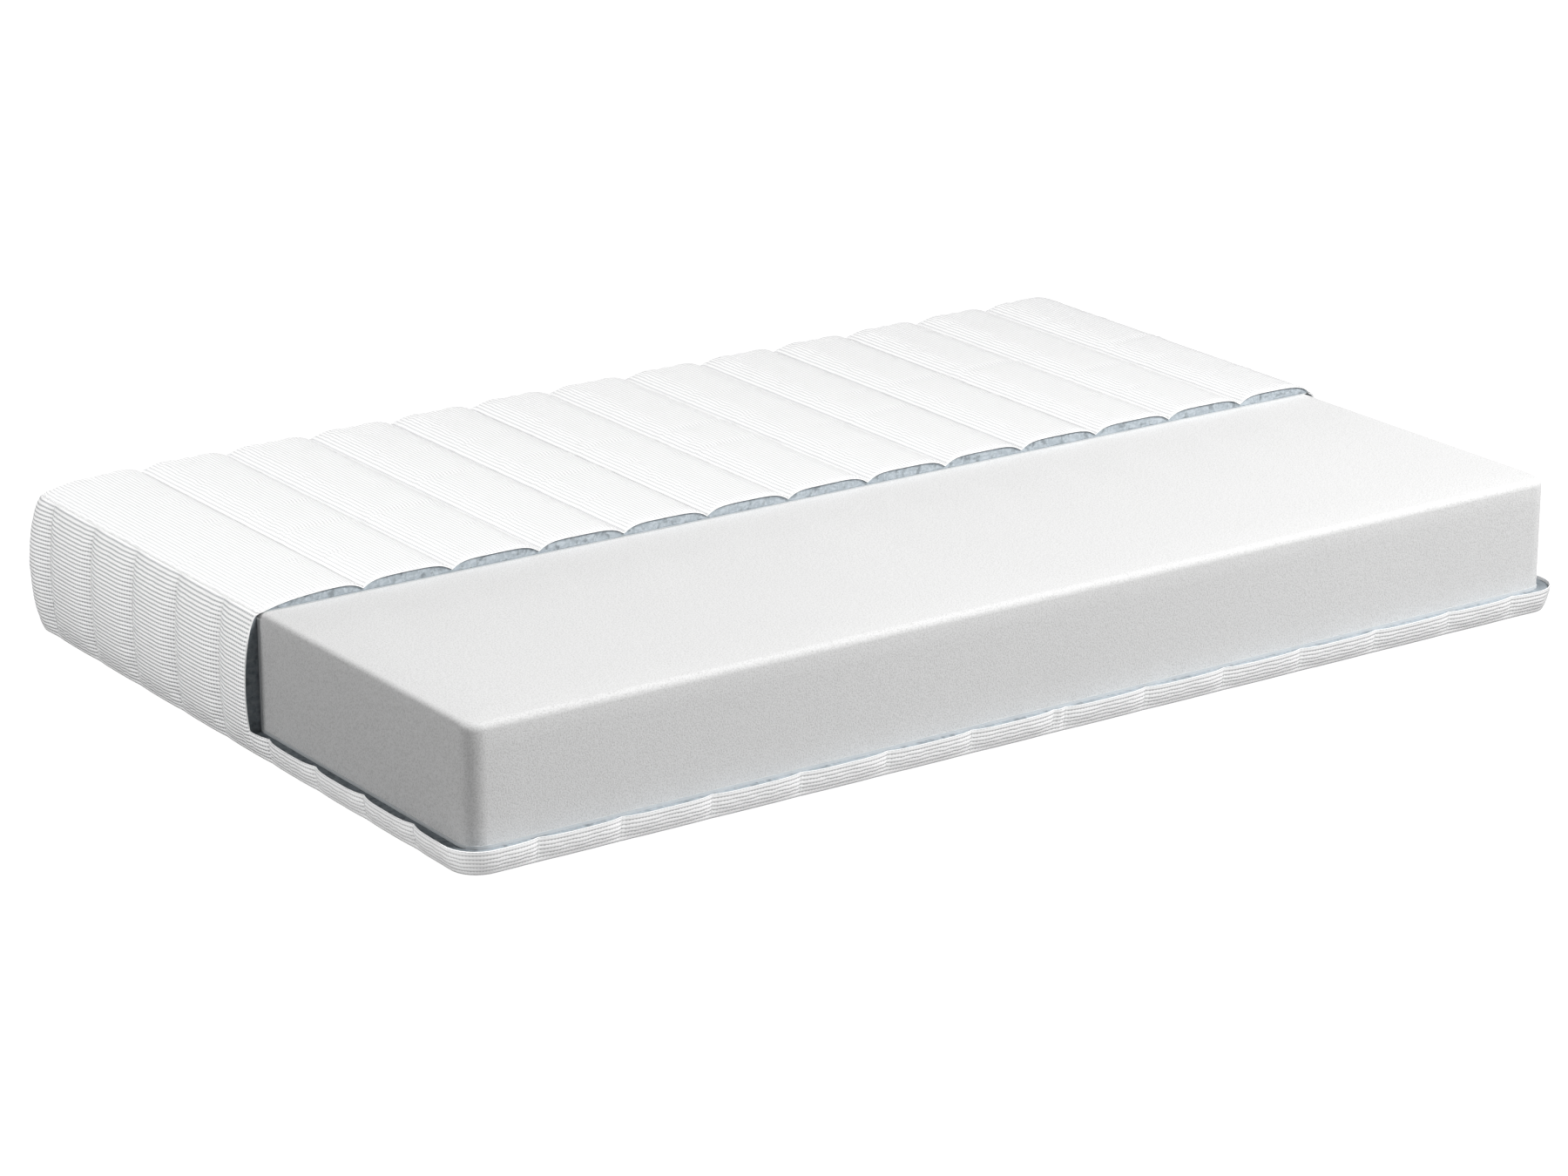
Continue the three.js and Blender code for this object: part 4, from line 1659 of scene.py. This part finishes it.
@dataclass
class Border:
    """The quilted strip round the sides: whole behind the cut, and only its foot in front of it."""

    footprint: Footprint
    foam_low: Vector
    foam_high: Vector
    cut_y: float
    rim: float = 38.5 * MM
    foot: float = 1.5 * MM
    crown: float = 27 * MM
    valley: float = 17.5 * MM
    knit: float = 2.0 * MM
    lining: float = 0.8 * MM
    gap: float = 0.3 * MM
    recess: float = 4.5 * MM
    drawn_front: float = 0.45
    # Painted shade on the wadding at the front and at the ends, carried in its drawn attribute.
    front_painted_shade: float = 0.15
    side_painted_shade: float = 0.6
    channel_reach: float = 75 * MM
    channel_power: float = 4.0
    front_pitch: float = 150 * MM
    side_pitch: float = 134.75 * MM
    side_first: float = 125 * MM
    join_gap: float = 10.5 * MM
    front_lines: int = 6
    side_lines: int = 9
    corner_lines: tuple[float, float] = (100 * MM, 83 * MM)
    flare: float = 6 * MM
    flare_fall: float = 8 * MM
    sewn_off: float = 1.2 * MM
    bulge_skew: float = 0.918
    bulge_power: float = 0.45
    foot_band: float = 8 * MM
    top_band: float = 10 * MM
    top_edge: float = 3 * MM
    uneven_size: float = 0.09
    uneven_seed: float = 4.1
    drawn_reach: float = 250 * MM
    knit_profile: float = 265 * MM
    knit_rim_profile: float = 52 * MM
    lining_profile: float = 210 * MM
    lining_rim_profile: float = 34 * MM
    zip_padding: tuple[float, float] = (3.6 * MM, 14 * MM)
    padding_ends: tuple[float, float] = (4.5 * MM, 2.5 * MM)
    fibre: float = 0.8 * MM
    stitch: float = 4.4 * MM
    zip_height: float = 116 * MM
    zip_half_gap: float = 6.6 * MM
    zip_floor: float = 10.4 * MM
    zip_fold: float = 17 * MM
    zip_end: float = 948 * MM
    zip_fade: float = 985 * MM
    body: str = "mattress"

    def __post_init__(self) -> None:
        """Works out where the stitch lines, the cuts and the zip are on the walk."""
        plan = self.footprint
        count = self.front_lines
        right = [plan.join_x + self.join_gap + self.front_pitch * i for i in range(count)]
        left = [plan.join_x - self.join_gap - self.front_pitch * i for i in range(count)]
        ends = [self.foam_low.x + self.corner_lines[0], self.foam_high.x - self.corner_lines[1]]
        first = self.foam_low.y + self.side_first
        side = [first + self.side_pitch * i for i in range(self.side_lines)]
        back = [self.front_pitch * i for i in range(-count, count + 1)]
        self.stitched = sorted(
            [plan.at_front(x) for x in (*right, *left, *ends)]
            + [plan.at_right(y) for y in side]
            + [plan.at_left(y) for y in side]
            + [plan.at_back(x) for x in back]
        )
        self.cuts = [plan.at_right(self.cut_y), plan.at_left(self.cut_y)]
        self.zip_ends = [plan.at_back(self.zip_end), plan.at_back(-self.zip_end)]
        self.fades = [plan.at_back(self.zip_fade), plan.at_back(-self.zip_fade)]
        self.top = self.foam_high.z + 0.5 * MM
        self.slot = (self.zip_height - self.zip_half_gap, self.zip_height + self.zip_half_gap)

    def pinch(self, walked: np.ndarray, z: np.ndarray) -> np.ndarray:
        """How much the knit is folded in to the zip, from 0 to 1.

        Args:
            walked: Places on the walk.
            z: Their heights.

        Returns:
            The share of the fold at each place.
        """
        low, high = self.zip_ends
        outside = np.maximum(np.maximum(low - walked, walked - high), 0)
        end = 1 - np.clip(outside / (low - self.fades[0]), 0, 1)
        end = end * end * (3 - 2 * end)
        away = np.maximum(np.abs(z - self.zip_height) - self.zip_half_gap, 0)
        return end * (1 - swell(away, self.zip_fold, 2.4))

    def stand_off(self, walked: np.ndarray, z: np.ndarray) -> np.ndarray:
        """How far the knit's outer face stands off the foam.

        Args:
            walked: Places on the walk.
            z: Their heights.

        Returns:
            The distances.
        """
        away = self.from_stitch(walked)
        risen = swell(away, self.channel_reach, self.channel_power)
        full = self.valley + (self.crown - self.valley) * risen
        share = np.clip(z / self.top, 0, 1) ** self.bulge_skew
        bulge = full * np.clip(np.sin(np.pi * share), 0, 1) ** self.bulge_power
        off = self.sewn_off + self.flare * np.exp(-z / self.flare_fall) + bulge
        return off + (self.zip_floor - off) * self.pinch(walked, z)

    def from_stitch(self, walked: np.ndarray) -> np.ndarray:
        """How far places on the walk are from the nearest stitch line.

        Args:
            walked: The places.

        Returns:
            The distances.
        """
        once = self.footprint.length
        keys = [line + turn for line in self.stitched for turn in (-once, 0, once)]
        return nearest(np.ravel(walked), keys).reshape(np.shape(walked))

    def face(self, walked: np.ndarray, heights: np.ndarray, off: np.ndarray) -> np.ndarray:
        """A grid of points at some distance off the foam.

        Args:
            walked: The columns, on the walk.
            heights: The rows.
            off: The distance off the foam for each row and column.

        Returns:
            The grid.
        """
        base, out = self.footprint.locate(walked)
        plan = base[None] + out[None] * off[..., None]
        return with_height(plan, np.broadcast_to(heights[:, None], off.shape))

    def columns(self, step: float, least: int) -> np.ndarray:
        """Places round the walk, with every stitch, cut and zip end among them, without the last."""
        keys = [0.0, self.footprint.length, *self.stitched, *self.cuts, *self.zip_ends, *self.fades]
        return spread(keys, step, least, 0.35)[:-1]

    def rows(self, step: float) -> np.ndarray:
        """Heights from the foot to the top, with the rim and the zip's slot among them.

        Args:
            step: The most between two heights.

        Returns:
            The heights in order.
        """
        low, high = self.slot
        fold = spread([low - self.zip_fold, low], 3 * MM)
        over = spread([high, high + self.zip_fold], 3 * MM)
        crest = spread([self.top - self.top_band, self.top - self.top_edge, self.top], 1.6 * MM, 3)
        return spread([self.foot, self.foot_band, self.rim, *fold, *over, *crest], step, 1)

    def cells(self, walked: np.ndarray, heights: np.ndarray, slot: bool) -> np.ndarray:
        """Which cells of a grid the strip has: none above the rim in front, and none in the slot.

        Args:
            walked: The columns' places.
            heights: The rows' heights.
            slot: Whether the zip's slot is left out.

        Returns:
            A flag for each cell.
        """
        after = np.append(walked[1:], self.footprint.length)
        middle = (walked + after) / 2
        level = (heights[:-1] + heights[1:]) / 2
        behind = (middle > self.cuts[0]) & (middle < self.cuts[1])
        kept = (level[:, None] < self.rim) | behind[None, :]
        if slot:
            along = (middle > self.zip_ends[0]) & (middle < self.zip_ends[1])
            inside = (level > self.slot[0]) & (level < self.slot[1])
            kept &= ~(along[None, :] & inside[:, None])
        return kept

    def flat_places(self, walked: np.ndarray, heights: np.ndarray) -> np.ndarray:
        """Each grid place on the strip before it was sewn, with one more column to close the walk.

        Args:
            walked: The columns' places.
            heights: The rows' heights.

        Returns:
            The flat places, rows by columns by two.
        """
        around = np.append(walked, self.footprint.length)
        middle = np.full(len(heights), self.stitched[0] + self.channel_reach)
        off = self.valley + 0.5 * (self.stand_off(middle, heights) - self.valley)
        climb = np.hypot(np.diff(heights), np.diff(off))
        up = np.concatenate([[0], np.cumsum(climb)])
        gx, gy = np.meshgrid(around, up)
        return np.stack([gx, gy], axis=2)

    def build(self) -> list[bpy.types.Object]:
        """Makes the knit, the wadding, the lining and the stitches.

        Returns:
            The pieces.
        """
        knit = self.build_knit()
        wadding = self.build_wadding()
        lining = self.build_lining()
        return [knit, wadding, lining, self.stitches()]

    def build_knit(self) -> bpy.types.Object:
        """The knit strip, open at the zip.

        Returns:
            The piece.
        """
        walked, heights = self.columns(9.5 * MM, 3), self.rows(6.5 * MM)
        gw, gz = np.meshgrid(walked, heights)
        off = self.stand_off(gw, gz)
        flat = np.stack([gw, 0 * gw, gz], 2).reshape(-1, 3)
        uneven = unevenness(flat, self.uneven_size, self.uneven_seed).reshape(gw.shape)
        level = np.clip(np.sin(np.pi * gz / self.top), 0, 1) * (1 - self.pinch(gw, gz))
        inside = swell(self.from_stitch(gw), UNEVEN_REACH, UNEVEN_POWER)
        off = off + UNEVEN_MOST * uneven * level * inside
        outer = self.face(walked, heights, off)
        normals = grid_normals(outer, True)
        kept = self.cells(walked, heights, True)
        sewn = self.sewn(gw, gz)
        outer = outer + normals * Cloth().moved(outer, kept, sewn, True)[..., None]
        inner = outer - normals * self.knit
        ahead = np.maximum(self.cuts[0] - walked, walked - self.cuts[1])
        drawn = self.drawn_front * swell(np.maximum(ahead, 0), self.drawn_reach, 1.5)
        layer = Layer(outer, inner, kept, self.flat_places(walked, heights), True, 2, drawn[None])
        return finished(layer, "border_knit_band", KNIT, self.body, "border_knit")

    def sewn(self, walked: np.ndarray, z: np.ndarray) -> np.ndarray:
        """Which places on the knit are sewn down or end at a cut.

        Args:
            walked: Places on the walk.
            z: Their heights.

        Returns:
            A flag for each place.
        """
        at_end = (z < self.foot_band + NEAR) | (z > self.top - self.top_edge - NEAR)
        at_cut = nearest(walked.ravel(), self.cuts).reshape(walked.shape) < NEAR
        in_front = (walked < self.cuts[0] + NEAR) | (walked > self.cuts[1] - NEAR)
        at_rim = in_front & (z > self.rim - self.foot_band)
        at_zip = self.pinch(walked, z) > 0.3
        return at_end | at_cut | at_rim | at_zip | (self.from_stitch(walked) < NEAR)

    def build_wadding(self) -> bpy.types.Object:
        """The wadding strip, a little behind the knit at both cuts, thin at the zip, and with painted
        shade.

        Returns:
            The piece.
        """
        walked, heights = self.columns(12 * MM, 3), self.rows(9 * MM)
        gw, gz = np.meshgrid(walked, heights)
        outer = self.face(walked, heights, self.stand_off(gw, gz))
        moved = outer - grid_normals(outer, True) * (self.knit + 2 * self.gap)
        base, out = self.footprint.locate(walked)
        floor = 2 * self.gap + self.lining
        off = ((moved[..., :2] - base[None]) * out[None]).sum(axis=2)
        off = np.maximum(off, floor + self.gap)
        zipped = self.pinch(gw, gz)
        thin = floor + self.zip_padding[0] + (1 - zipped) * self.zip_padding[1]
        off = np.where(zipped > 0.02, np.minimum(off, thin), off)
        level = np.clip(gz, self.padding_ends[0], self.top - self.padding_ends[1])
        low = self.face(walked, heights, np.full(off.shape, floor))
        high = self.face(walked, heights, off)
        in_front = (walked < self.cuts[0] - NEAR) | (walked > self.cuts[1] + NEAR)
        at_cut = [int(np.argmin(np.abs(walked - cut))) for cut in self.cuts]
        row = int(np.argmin(np.abs(heights - self.rim)))
        for grid in (low, high):
            grid[..., 2] = level
            grid[row, in_front, 2] -= self.recess
            for column in at_cut:
                grid[row:, column, 1] += self.recess
                grid[row, column, 2] -= self.recess
        # Painted shade on the wadding, more at the ends than at the front, passed in as the layer's
        # drawn values.
        painted_shade = self.front_painted_shade + (self.side_painted_shade - self.front_painted_shade) * np.abs(out[:, 0])
        kept = self.cells(walked, heights, False)
        layer = Layer(high, low, kept, self.flat_places(walked, heights), True, 6, painted_shade[None])
        name = "border_wadding_layer"
        wadding = finished(layer, name, WADDING, self.body, "border_wadding", self.fibre)
        return wadding

    def build_lining(self) -> bpy.types.Object:
        """The thin lining round the foam's sides.

        Returns:
            The piece.
        """
        walked = self.columns(25 * MM, 1)
        heights = spread([self.padding_ends[0], self.rim, self.foam_high.z - 8 * MM], 30 * MM)
        shape = (len(heights), len(walked))
        high = self.face(walked, heights, np.full(shape, self.gap + self.lining))
        low = self.face(walked, heights, np.full(shape, self.gap))
        kept = self.cells(walked, heights, False)
        layer = Layer(high, low, kept, self.flat_places(walked, heights), True)
        name = "border_lining_sheet"
        return finished(layer, name, LINING, self.body, "border_lining")

    def stitches(self) -> bpy.types.Object:
        """A row of stitches down each line of the strip, as far up as the strip goes.

        Returns:
            The rows of stitches.
        """
        lines = []
        for walked in self.stitched:
            behind = self.cuts[0] < walked < self.cuts[1]
            zipped = self.zip_ends[0] - 5 * MM < walked < self.zip_ends[1] + 5 * MM
            foot, top, clear = 6 * MM, self.top - 4 * MM, 3 * MM
            runs = [(foot, self.rim - 2 * MM)]
            if behind and zipped:
                runs = [(foot, self.slot[0] - clear), (self.slot[1] + clear, top)]
            elif behind:
                runs = [(foot, top)]
            for low, high in runs:
                heights = spread([low, high], self.stitch)
                place = np.full(len(heights), walked)
                off = self.stand_off(place, heights) + 0.1 * MM
                base, out = self.footprint.locate(place)
                lines.append(np.column_stack([base + out * off[:, None], heights]))
        row = stitch_row("border_quilt_stitches", lines)
        settle(row, THREAD, self.body, [])
        return row


# ---- Seams -----------------------------------------------------------------------------------


@dataclass
class EdgeSeams:
    """The overlocked seams that join the border to the top panel and to the base panel."""

    footprint: Footprint
    cuts: list[float]
    top_height: float
    radius: float = 0.8 * MM
    step: float = 9 * MM
    short: float = 0.5 * MM
    top_off: float = 2.2 * MM
    top_lift: float = 1.3 * MM
    base_off: float = 8.9 * MM
    base_height: float = 1.15 * MM
    body: str = "mattress"

    def build(self) -> list[bpy.types.Object]:
        """Makes both seams as rolls of thread.

        Returns:
            The pieces.
        """
        behind = spread([self.cuts[0] + self.short, self.cuts[1] - self.short], self.step)
        z = self.top_height + self.top_lift
        top = self.roll("top_edge_seam_roll", behind, self.top_off, z, False)
        settle(top, THREAD, self.body, ["top_edge_seam"])
        around = spread([0.0, self.footprint.length], self.step)[:-1]
        base = self.roll("base_edge_seam_roll", around, self.base_off, self.base_height, True)
        settle(base, THREAD, self.body, ["base_edge_seam"])
        return [top, base]

    def roll(
        self, name: str, walked: np.ndarray, off: float, z: float, closed: bool
    ) -> bpy.types.Object:
        """A round roll along the walk.

        Args:
            name: The piece's name.
            walked: Its points on the walk.
            off: How far off the foam it lies.
            z: How high it lies.
            closed: Whether it goes all the way round.

        Returns:
            The piece, as a mesh.
        """
        base, out = self.footprint.locate(walked)
        plan = base + out * off
        curve = bpy.data.curves.new(name, "CURVE")
        curve.dimensions = "3D"
        curve.bevel_depth = self.radius
        curve.bevel_resolution = 2
        curve.use_fill_caps = True
        spline = curve.splines.new("POLY")
        spline.points.add(len(plan) - 1)
        for point, (x, y) in zip(spline.points, plan):
            point.co = (x, y, z, 1)
        spline.use_cyclic_u = closed
        piece = bpy.data.objects.new(name, curve)
        bpy.context.scene.collection.objects.link(piece)
        only(piece)
        bpy.ops.object.convert(target="MESH")
        piece = bpy.context.object
        smooth(piece, CLOTH_ANGLE)
        return piece


# ---- Zip -------------------------------------------------------------------------------------


@dataclass
class Zip:
    """The zip in the back of the border: tapes, coils, stops, slider and pull tab."""

    turn: float = 2.0 * MM
    wire: float = 0.42 * MM
    turn_steps: int = 8
    wire_sides: int = 5
    tape_cuts: tuple[tuple[int, int], ...] = ((0, 160), (2, 6))
    body: str = "mattress"

    def build(self) -> list[bpy.types.Object]:
        """Makes the tapes and coils, and dresses the metal pieces of the frame.

        Returns:
            The pieces.
        """
        made = []
        for side in ("upper", "lower"):
            made += [self.tape(side), self.coil(side)]
        for name in ("zip_stop_closed", "zip_stop_open", "zip_slider", "zip_pull_tab"):
            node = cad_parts[name]
            node.data.materials.clear()
            node.data.materials.append(NICKEL.material())
        return made

    def tape(self, side: str) -> bpy.types.Object:
        """One woven tape, with enough faces along it to take the weave.

        Args:
            side: Which tape, upper or lower.

        Returns:
            The piece.
        """
        low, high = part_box(f"zip_tape_{side}")
        tape = new_box(f"zip_woven_tape_{side}", low, high)
        cut_across(tape, low, high, self.tape_cuts)
        smooth(tape, 40)
        settle(tape, TAPE, self.body, [f"zip_tape_{side}"])
        return tape

    def coil(self, side: str) -> bpy.types.Object:
        """One nylon coil: a flattened helix of filament along the tape's edge.

        Args:
            side: Which coil, upper or lower.

        Returns:
            The piece.
        """
        low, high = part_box(f"zip_coil_{side}")
        radius, steps, sides = self.wire, self.turn_steps, self.wire_sides
        turns = int((high.x - low.x) / self.turn)
        t = np.arange(turns * steps + 1) / steps
        x = low.x + radius + t * (high.x - low.x - 2 * radius) / turns
        swing = 2 * np.pi * t
        half_y = (high.y - low.y) / 2 - radius
        half_z = (high.z - low.z) / 2 - radius
        y = (low.y + high.y) / 2 + half_y * np.cos(swing)
        z = (low.z + high.z) / 2 + half_z * np.sin(swing)
        line = np.stack([x, y, z], axis=1)
        ahead = np.gradient(line, axis=0)
        ahead /= np.linalg.norm(ahead, axis=1, keepdims=True)
        first = np.cross(ahead, (1.0, 0.0, 0.0))
        first /= np.linalg.norm(first, axis=1, keepdims=True)
        second = np.cross(ahead, first)
        angles = 2 * np.pi * np.arange(sides) / sides
        cos, sin = np.cos(angles)[None, :, None], np.sin(angles)[None, :, None]
        ring = cos * first[:, None] + sin * second[:, None]
        points = (line[:, None] + radius * ring).reshape(-1, 3)
        faces = [list(range(sides))[::-1], [len(points) - sides + i for i in range(sides)]]
        for i in range(len(line) - 1):
            for k in range(sides):
                a, b = i * sides + k, i * sides + (k + 1) % sides
                faces.append([a, b, b + sides, a + sides])
        coil = new_piece(f"zip_nylon_coil_{side}", points.tolist(), faces)
        face_outwards(coil)
        smooth(coil, 70)
        settle(coil, NYLON, self.body, [f"zip_coil_{side}"])
        return coil


# ---- Studio ----------------------------------------------------------------------------------


@dataclass
class Studio:
    """A white floor, soft lamps and the camera."""

    cover: list[bpy.types.Object]
    azimuth: float = math.radians(-34.846)
    elevation: float = math.radians(18.559)
    lens: float = 109.96
    stand: tuple[float, float, float] = (-4.0684, -5.8073, 2.4264)
    floor_size: float = 60.0
    paper: float = 0.25
    bright: float = 0.2
    glow: float = 0.97
    sky: float = 0.08

    def build(self) -> None:
        """Sets up the floor, the world, the lamps and the camera."""
        self.floor()
        self.world()
        self.lamp("key_lamp", (3.2, -4.4, 6.2), 2.5, 668)
        self.lamp("side_lamp", (-6.0, 0.4, 1.6), 2.5, 72)
        self.lamp("cover_lamp", (-5.3, 0.6, 2.9), 2.0, 155, self.cover)
        self.lamp("front_lamp", (-1.6, -6.0, 0.6), 2.0, 155, self.cover)
        self.lamp("ceiling_lamp", (-2.6, 0.6, 6.0), 4.0, 34)
        self.lamp("back_lamp", (1.0, 6.0, 0.7), 1.2, 120)
        data = bpy.data.cameras.new("camera")
        data.lens = self.lens
        data.sensor_width = 36
        data.clip_end = 100
        camera = bpy.data.objects.new("camera", data)
        camera.location = self.stand
        camera.rotation_euler = (math.pi / 2 - self.elevation, 0, self.azimuth)
        bpy.context.scene.collection.objects.link(camera)
        bpy.context.scene.camera = camera
        bpy.context.scene.view_settings.view_transform = "Standard"

    def floor(self) -> None:
        """A wide plain floor that reads as white paper."""
        bpy.ops.object.select_all(action="DESELECT")
        bpy.ops.mesh.primitive_plane_add(size=self.floor_size, location=(0, 0, -0.2 * MM))
        floor = bpy.context.object
        floor.name = "studio_floor"
        material = bpy.data.materials.new("studio_floor")
        graph = fresh_graph(material)
        paper = graph.node("ShaderNodeBsdfDiffuse", {"Color": grey(self.paper)})
        bright = graph.node("ShaderNodeBsdfDiffuse", {"Color": grey(self.bright)})
        glow = graph.node("ShaderNodeEmission", {"Color": grey(1), "Strength": self.glow})
        both = graph.node("ShaderNodeAddShader", {0: bright.outputs[0], 1: glow.outputs[0]})
        self.show(graph, paper, both, "ShaderNodeOutputMaterial")
        floor.data.materials.append(material)

    def world(self) -> None:
        """A white backdrop that lights the scene softly."""
        world = bpy.data.worlds.new("studio")
        bpy.context.scene.world = world
        graph = fresh_graph(world)
        soft = graph.node("ShaderNodeBackground", {"Color": grey(1), "Strength": self.sky})
        white = graph.node("ShaderNodeBackground", {"Color": grey(1), "Strength": 1.0})
        self.show(graph, soft, white, "ShaderNodeOutputWorld")

    @staticmethod
    def show(graph: Graph, lit: bpy.types.Node, seen: bpy.types.Node, output: str) -> None:
        """Puts out one shader to the camera and another to everything else.

        Args:
            graph: The graph of the material or the world.
            lit: The shader that the scene is lit by.
            seen: The shader that the camera sees.
            output: The kind of output node.
        """
        camera = graph.node("ShaderNodeLightPath").outputs["Is Camera Ray"]
        inputs = {0: camera, 1: lit.outputs[0], 2: seen.outputs[0]}
        graph.node(output, {"Surface": graph.node("ShaderNodeMixShader", inputs).outputs[0]})

    @staticmethod
    def lamp(
        name: str, place: tuple, size: float, power: float, lit: list | None = None
    ) -> None:
        """A square soft lamp that faces the mattress.

        Args:
            name: Its name.
            place: Where it hangs.
            size: How wide it is.
            power: Its power in watts.
            lit: The only pieces that it lights, or None where it lights all of them.
        """
        data = bpy.data.lights.new(name, "AREA")
        data.size = size
        data.energy = power
        lamp = bpy.data.objects.new(name, data)
        lamp.location = place
        towards = Vector((0, 0, 0.1)) - Vector(place)
        lamp.rotation_euler = towards.to_track_quat("-Z", "Y").to_euler()
        bpy.context.scene.collection.objects.link(lamp)
        if lit:
            receivers = bpy.data.collections.new(f"{name}_receivers")
            for piece in lit:
                receivers.objects.link(piece)
            lamp.light_linking.receiver_collection = receivers


# ---- Assembly --------------------------------------------------------------------------------


def report(title: str, made: list[bpy.types.Object]) -> None:
    """Logs each piece of a sub-assembly with its number of faces."""
    for piece in made:
        LOG.info("%s: %s, %d faces", title, piece.name, len(piece.data.polygons))


def main() -> None:
    """Builds the mattress round the frame."""
    logging.basicConfig(level=logging.INFO, format="%(name)s %(message)s", stream=sys.stdout)
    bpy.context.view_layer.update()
    foam_low, foam_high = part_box("foam_core")
    cut_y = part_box("top_knit")[0].y
    quilting = Quilting(first_x=foam_low.x + 172 * MM)
    half_width, centre_y = (foam_high.y - foam_low.y) / 2, (foam_low.y + foam_high.y) / 2
    footprint = Footprint(foam_high.x, half_width, centre_y)
    report("foam", [FoamBlock(foam_low, foam_high).build()])
    base = BasePanel(foam_low, foam_high, quilting).build()
    report("base", base)
    border = Border(footprint, foam_low, foam_high, cut_y)
    sides = border.build()
    report("border", sides)
    top = TopPanel(foam_low, foam_high, cut_y, quilting).build()
    report("top", top)
    seams = EdgeSeams(footprint, border.cuts, foam_high.z).build()
    report("seams", seams)
    knits = [piece for piece in (*base, *sides, *top) if "knit" in piece.name]
    Studio(knits + seams).build()
    report("zip", Zip().build())


if __name__ == "__main__":
    main()
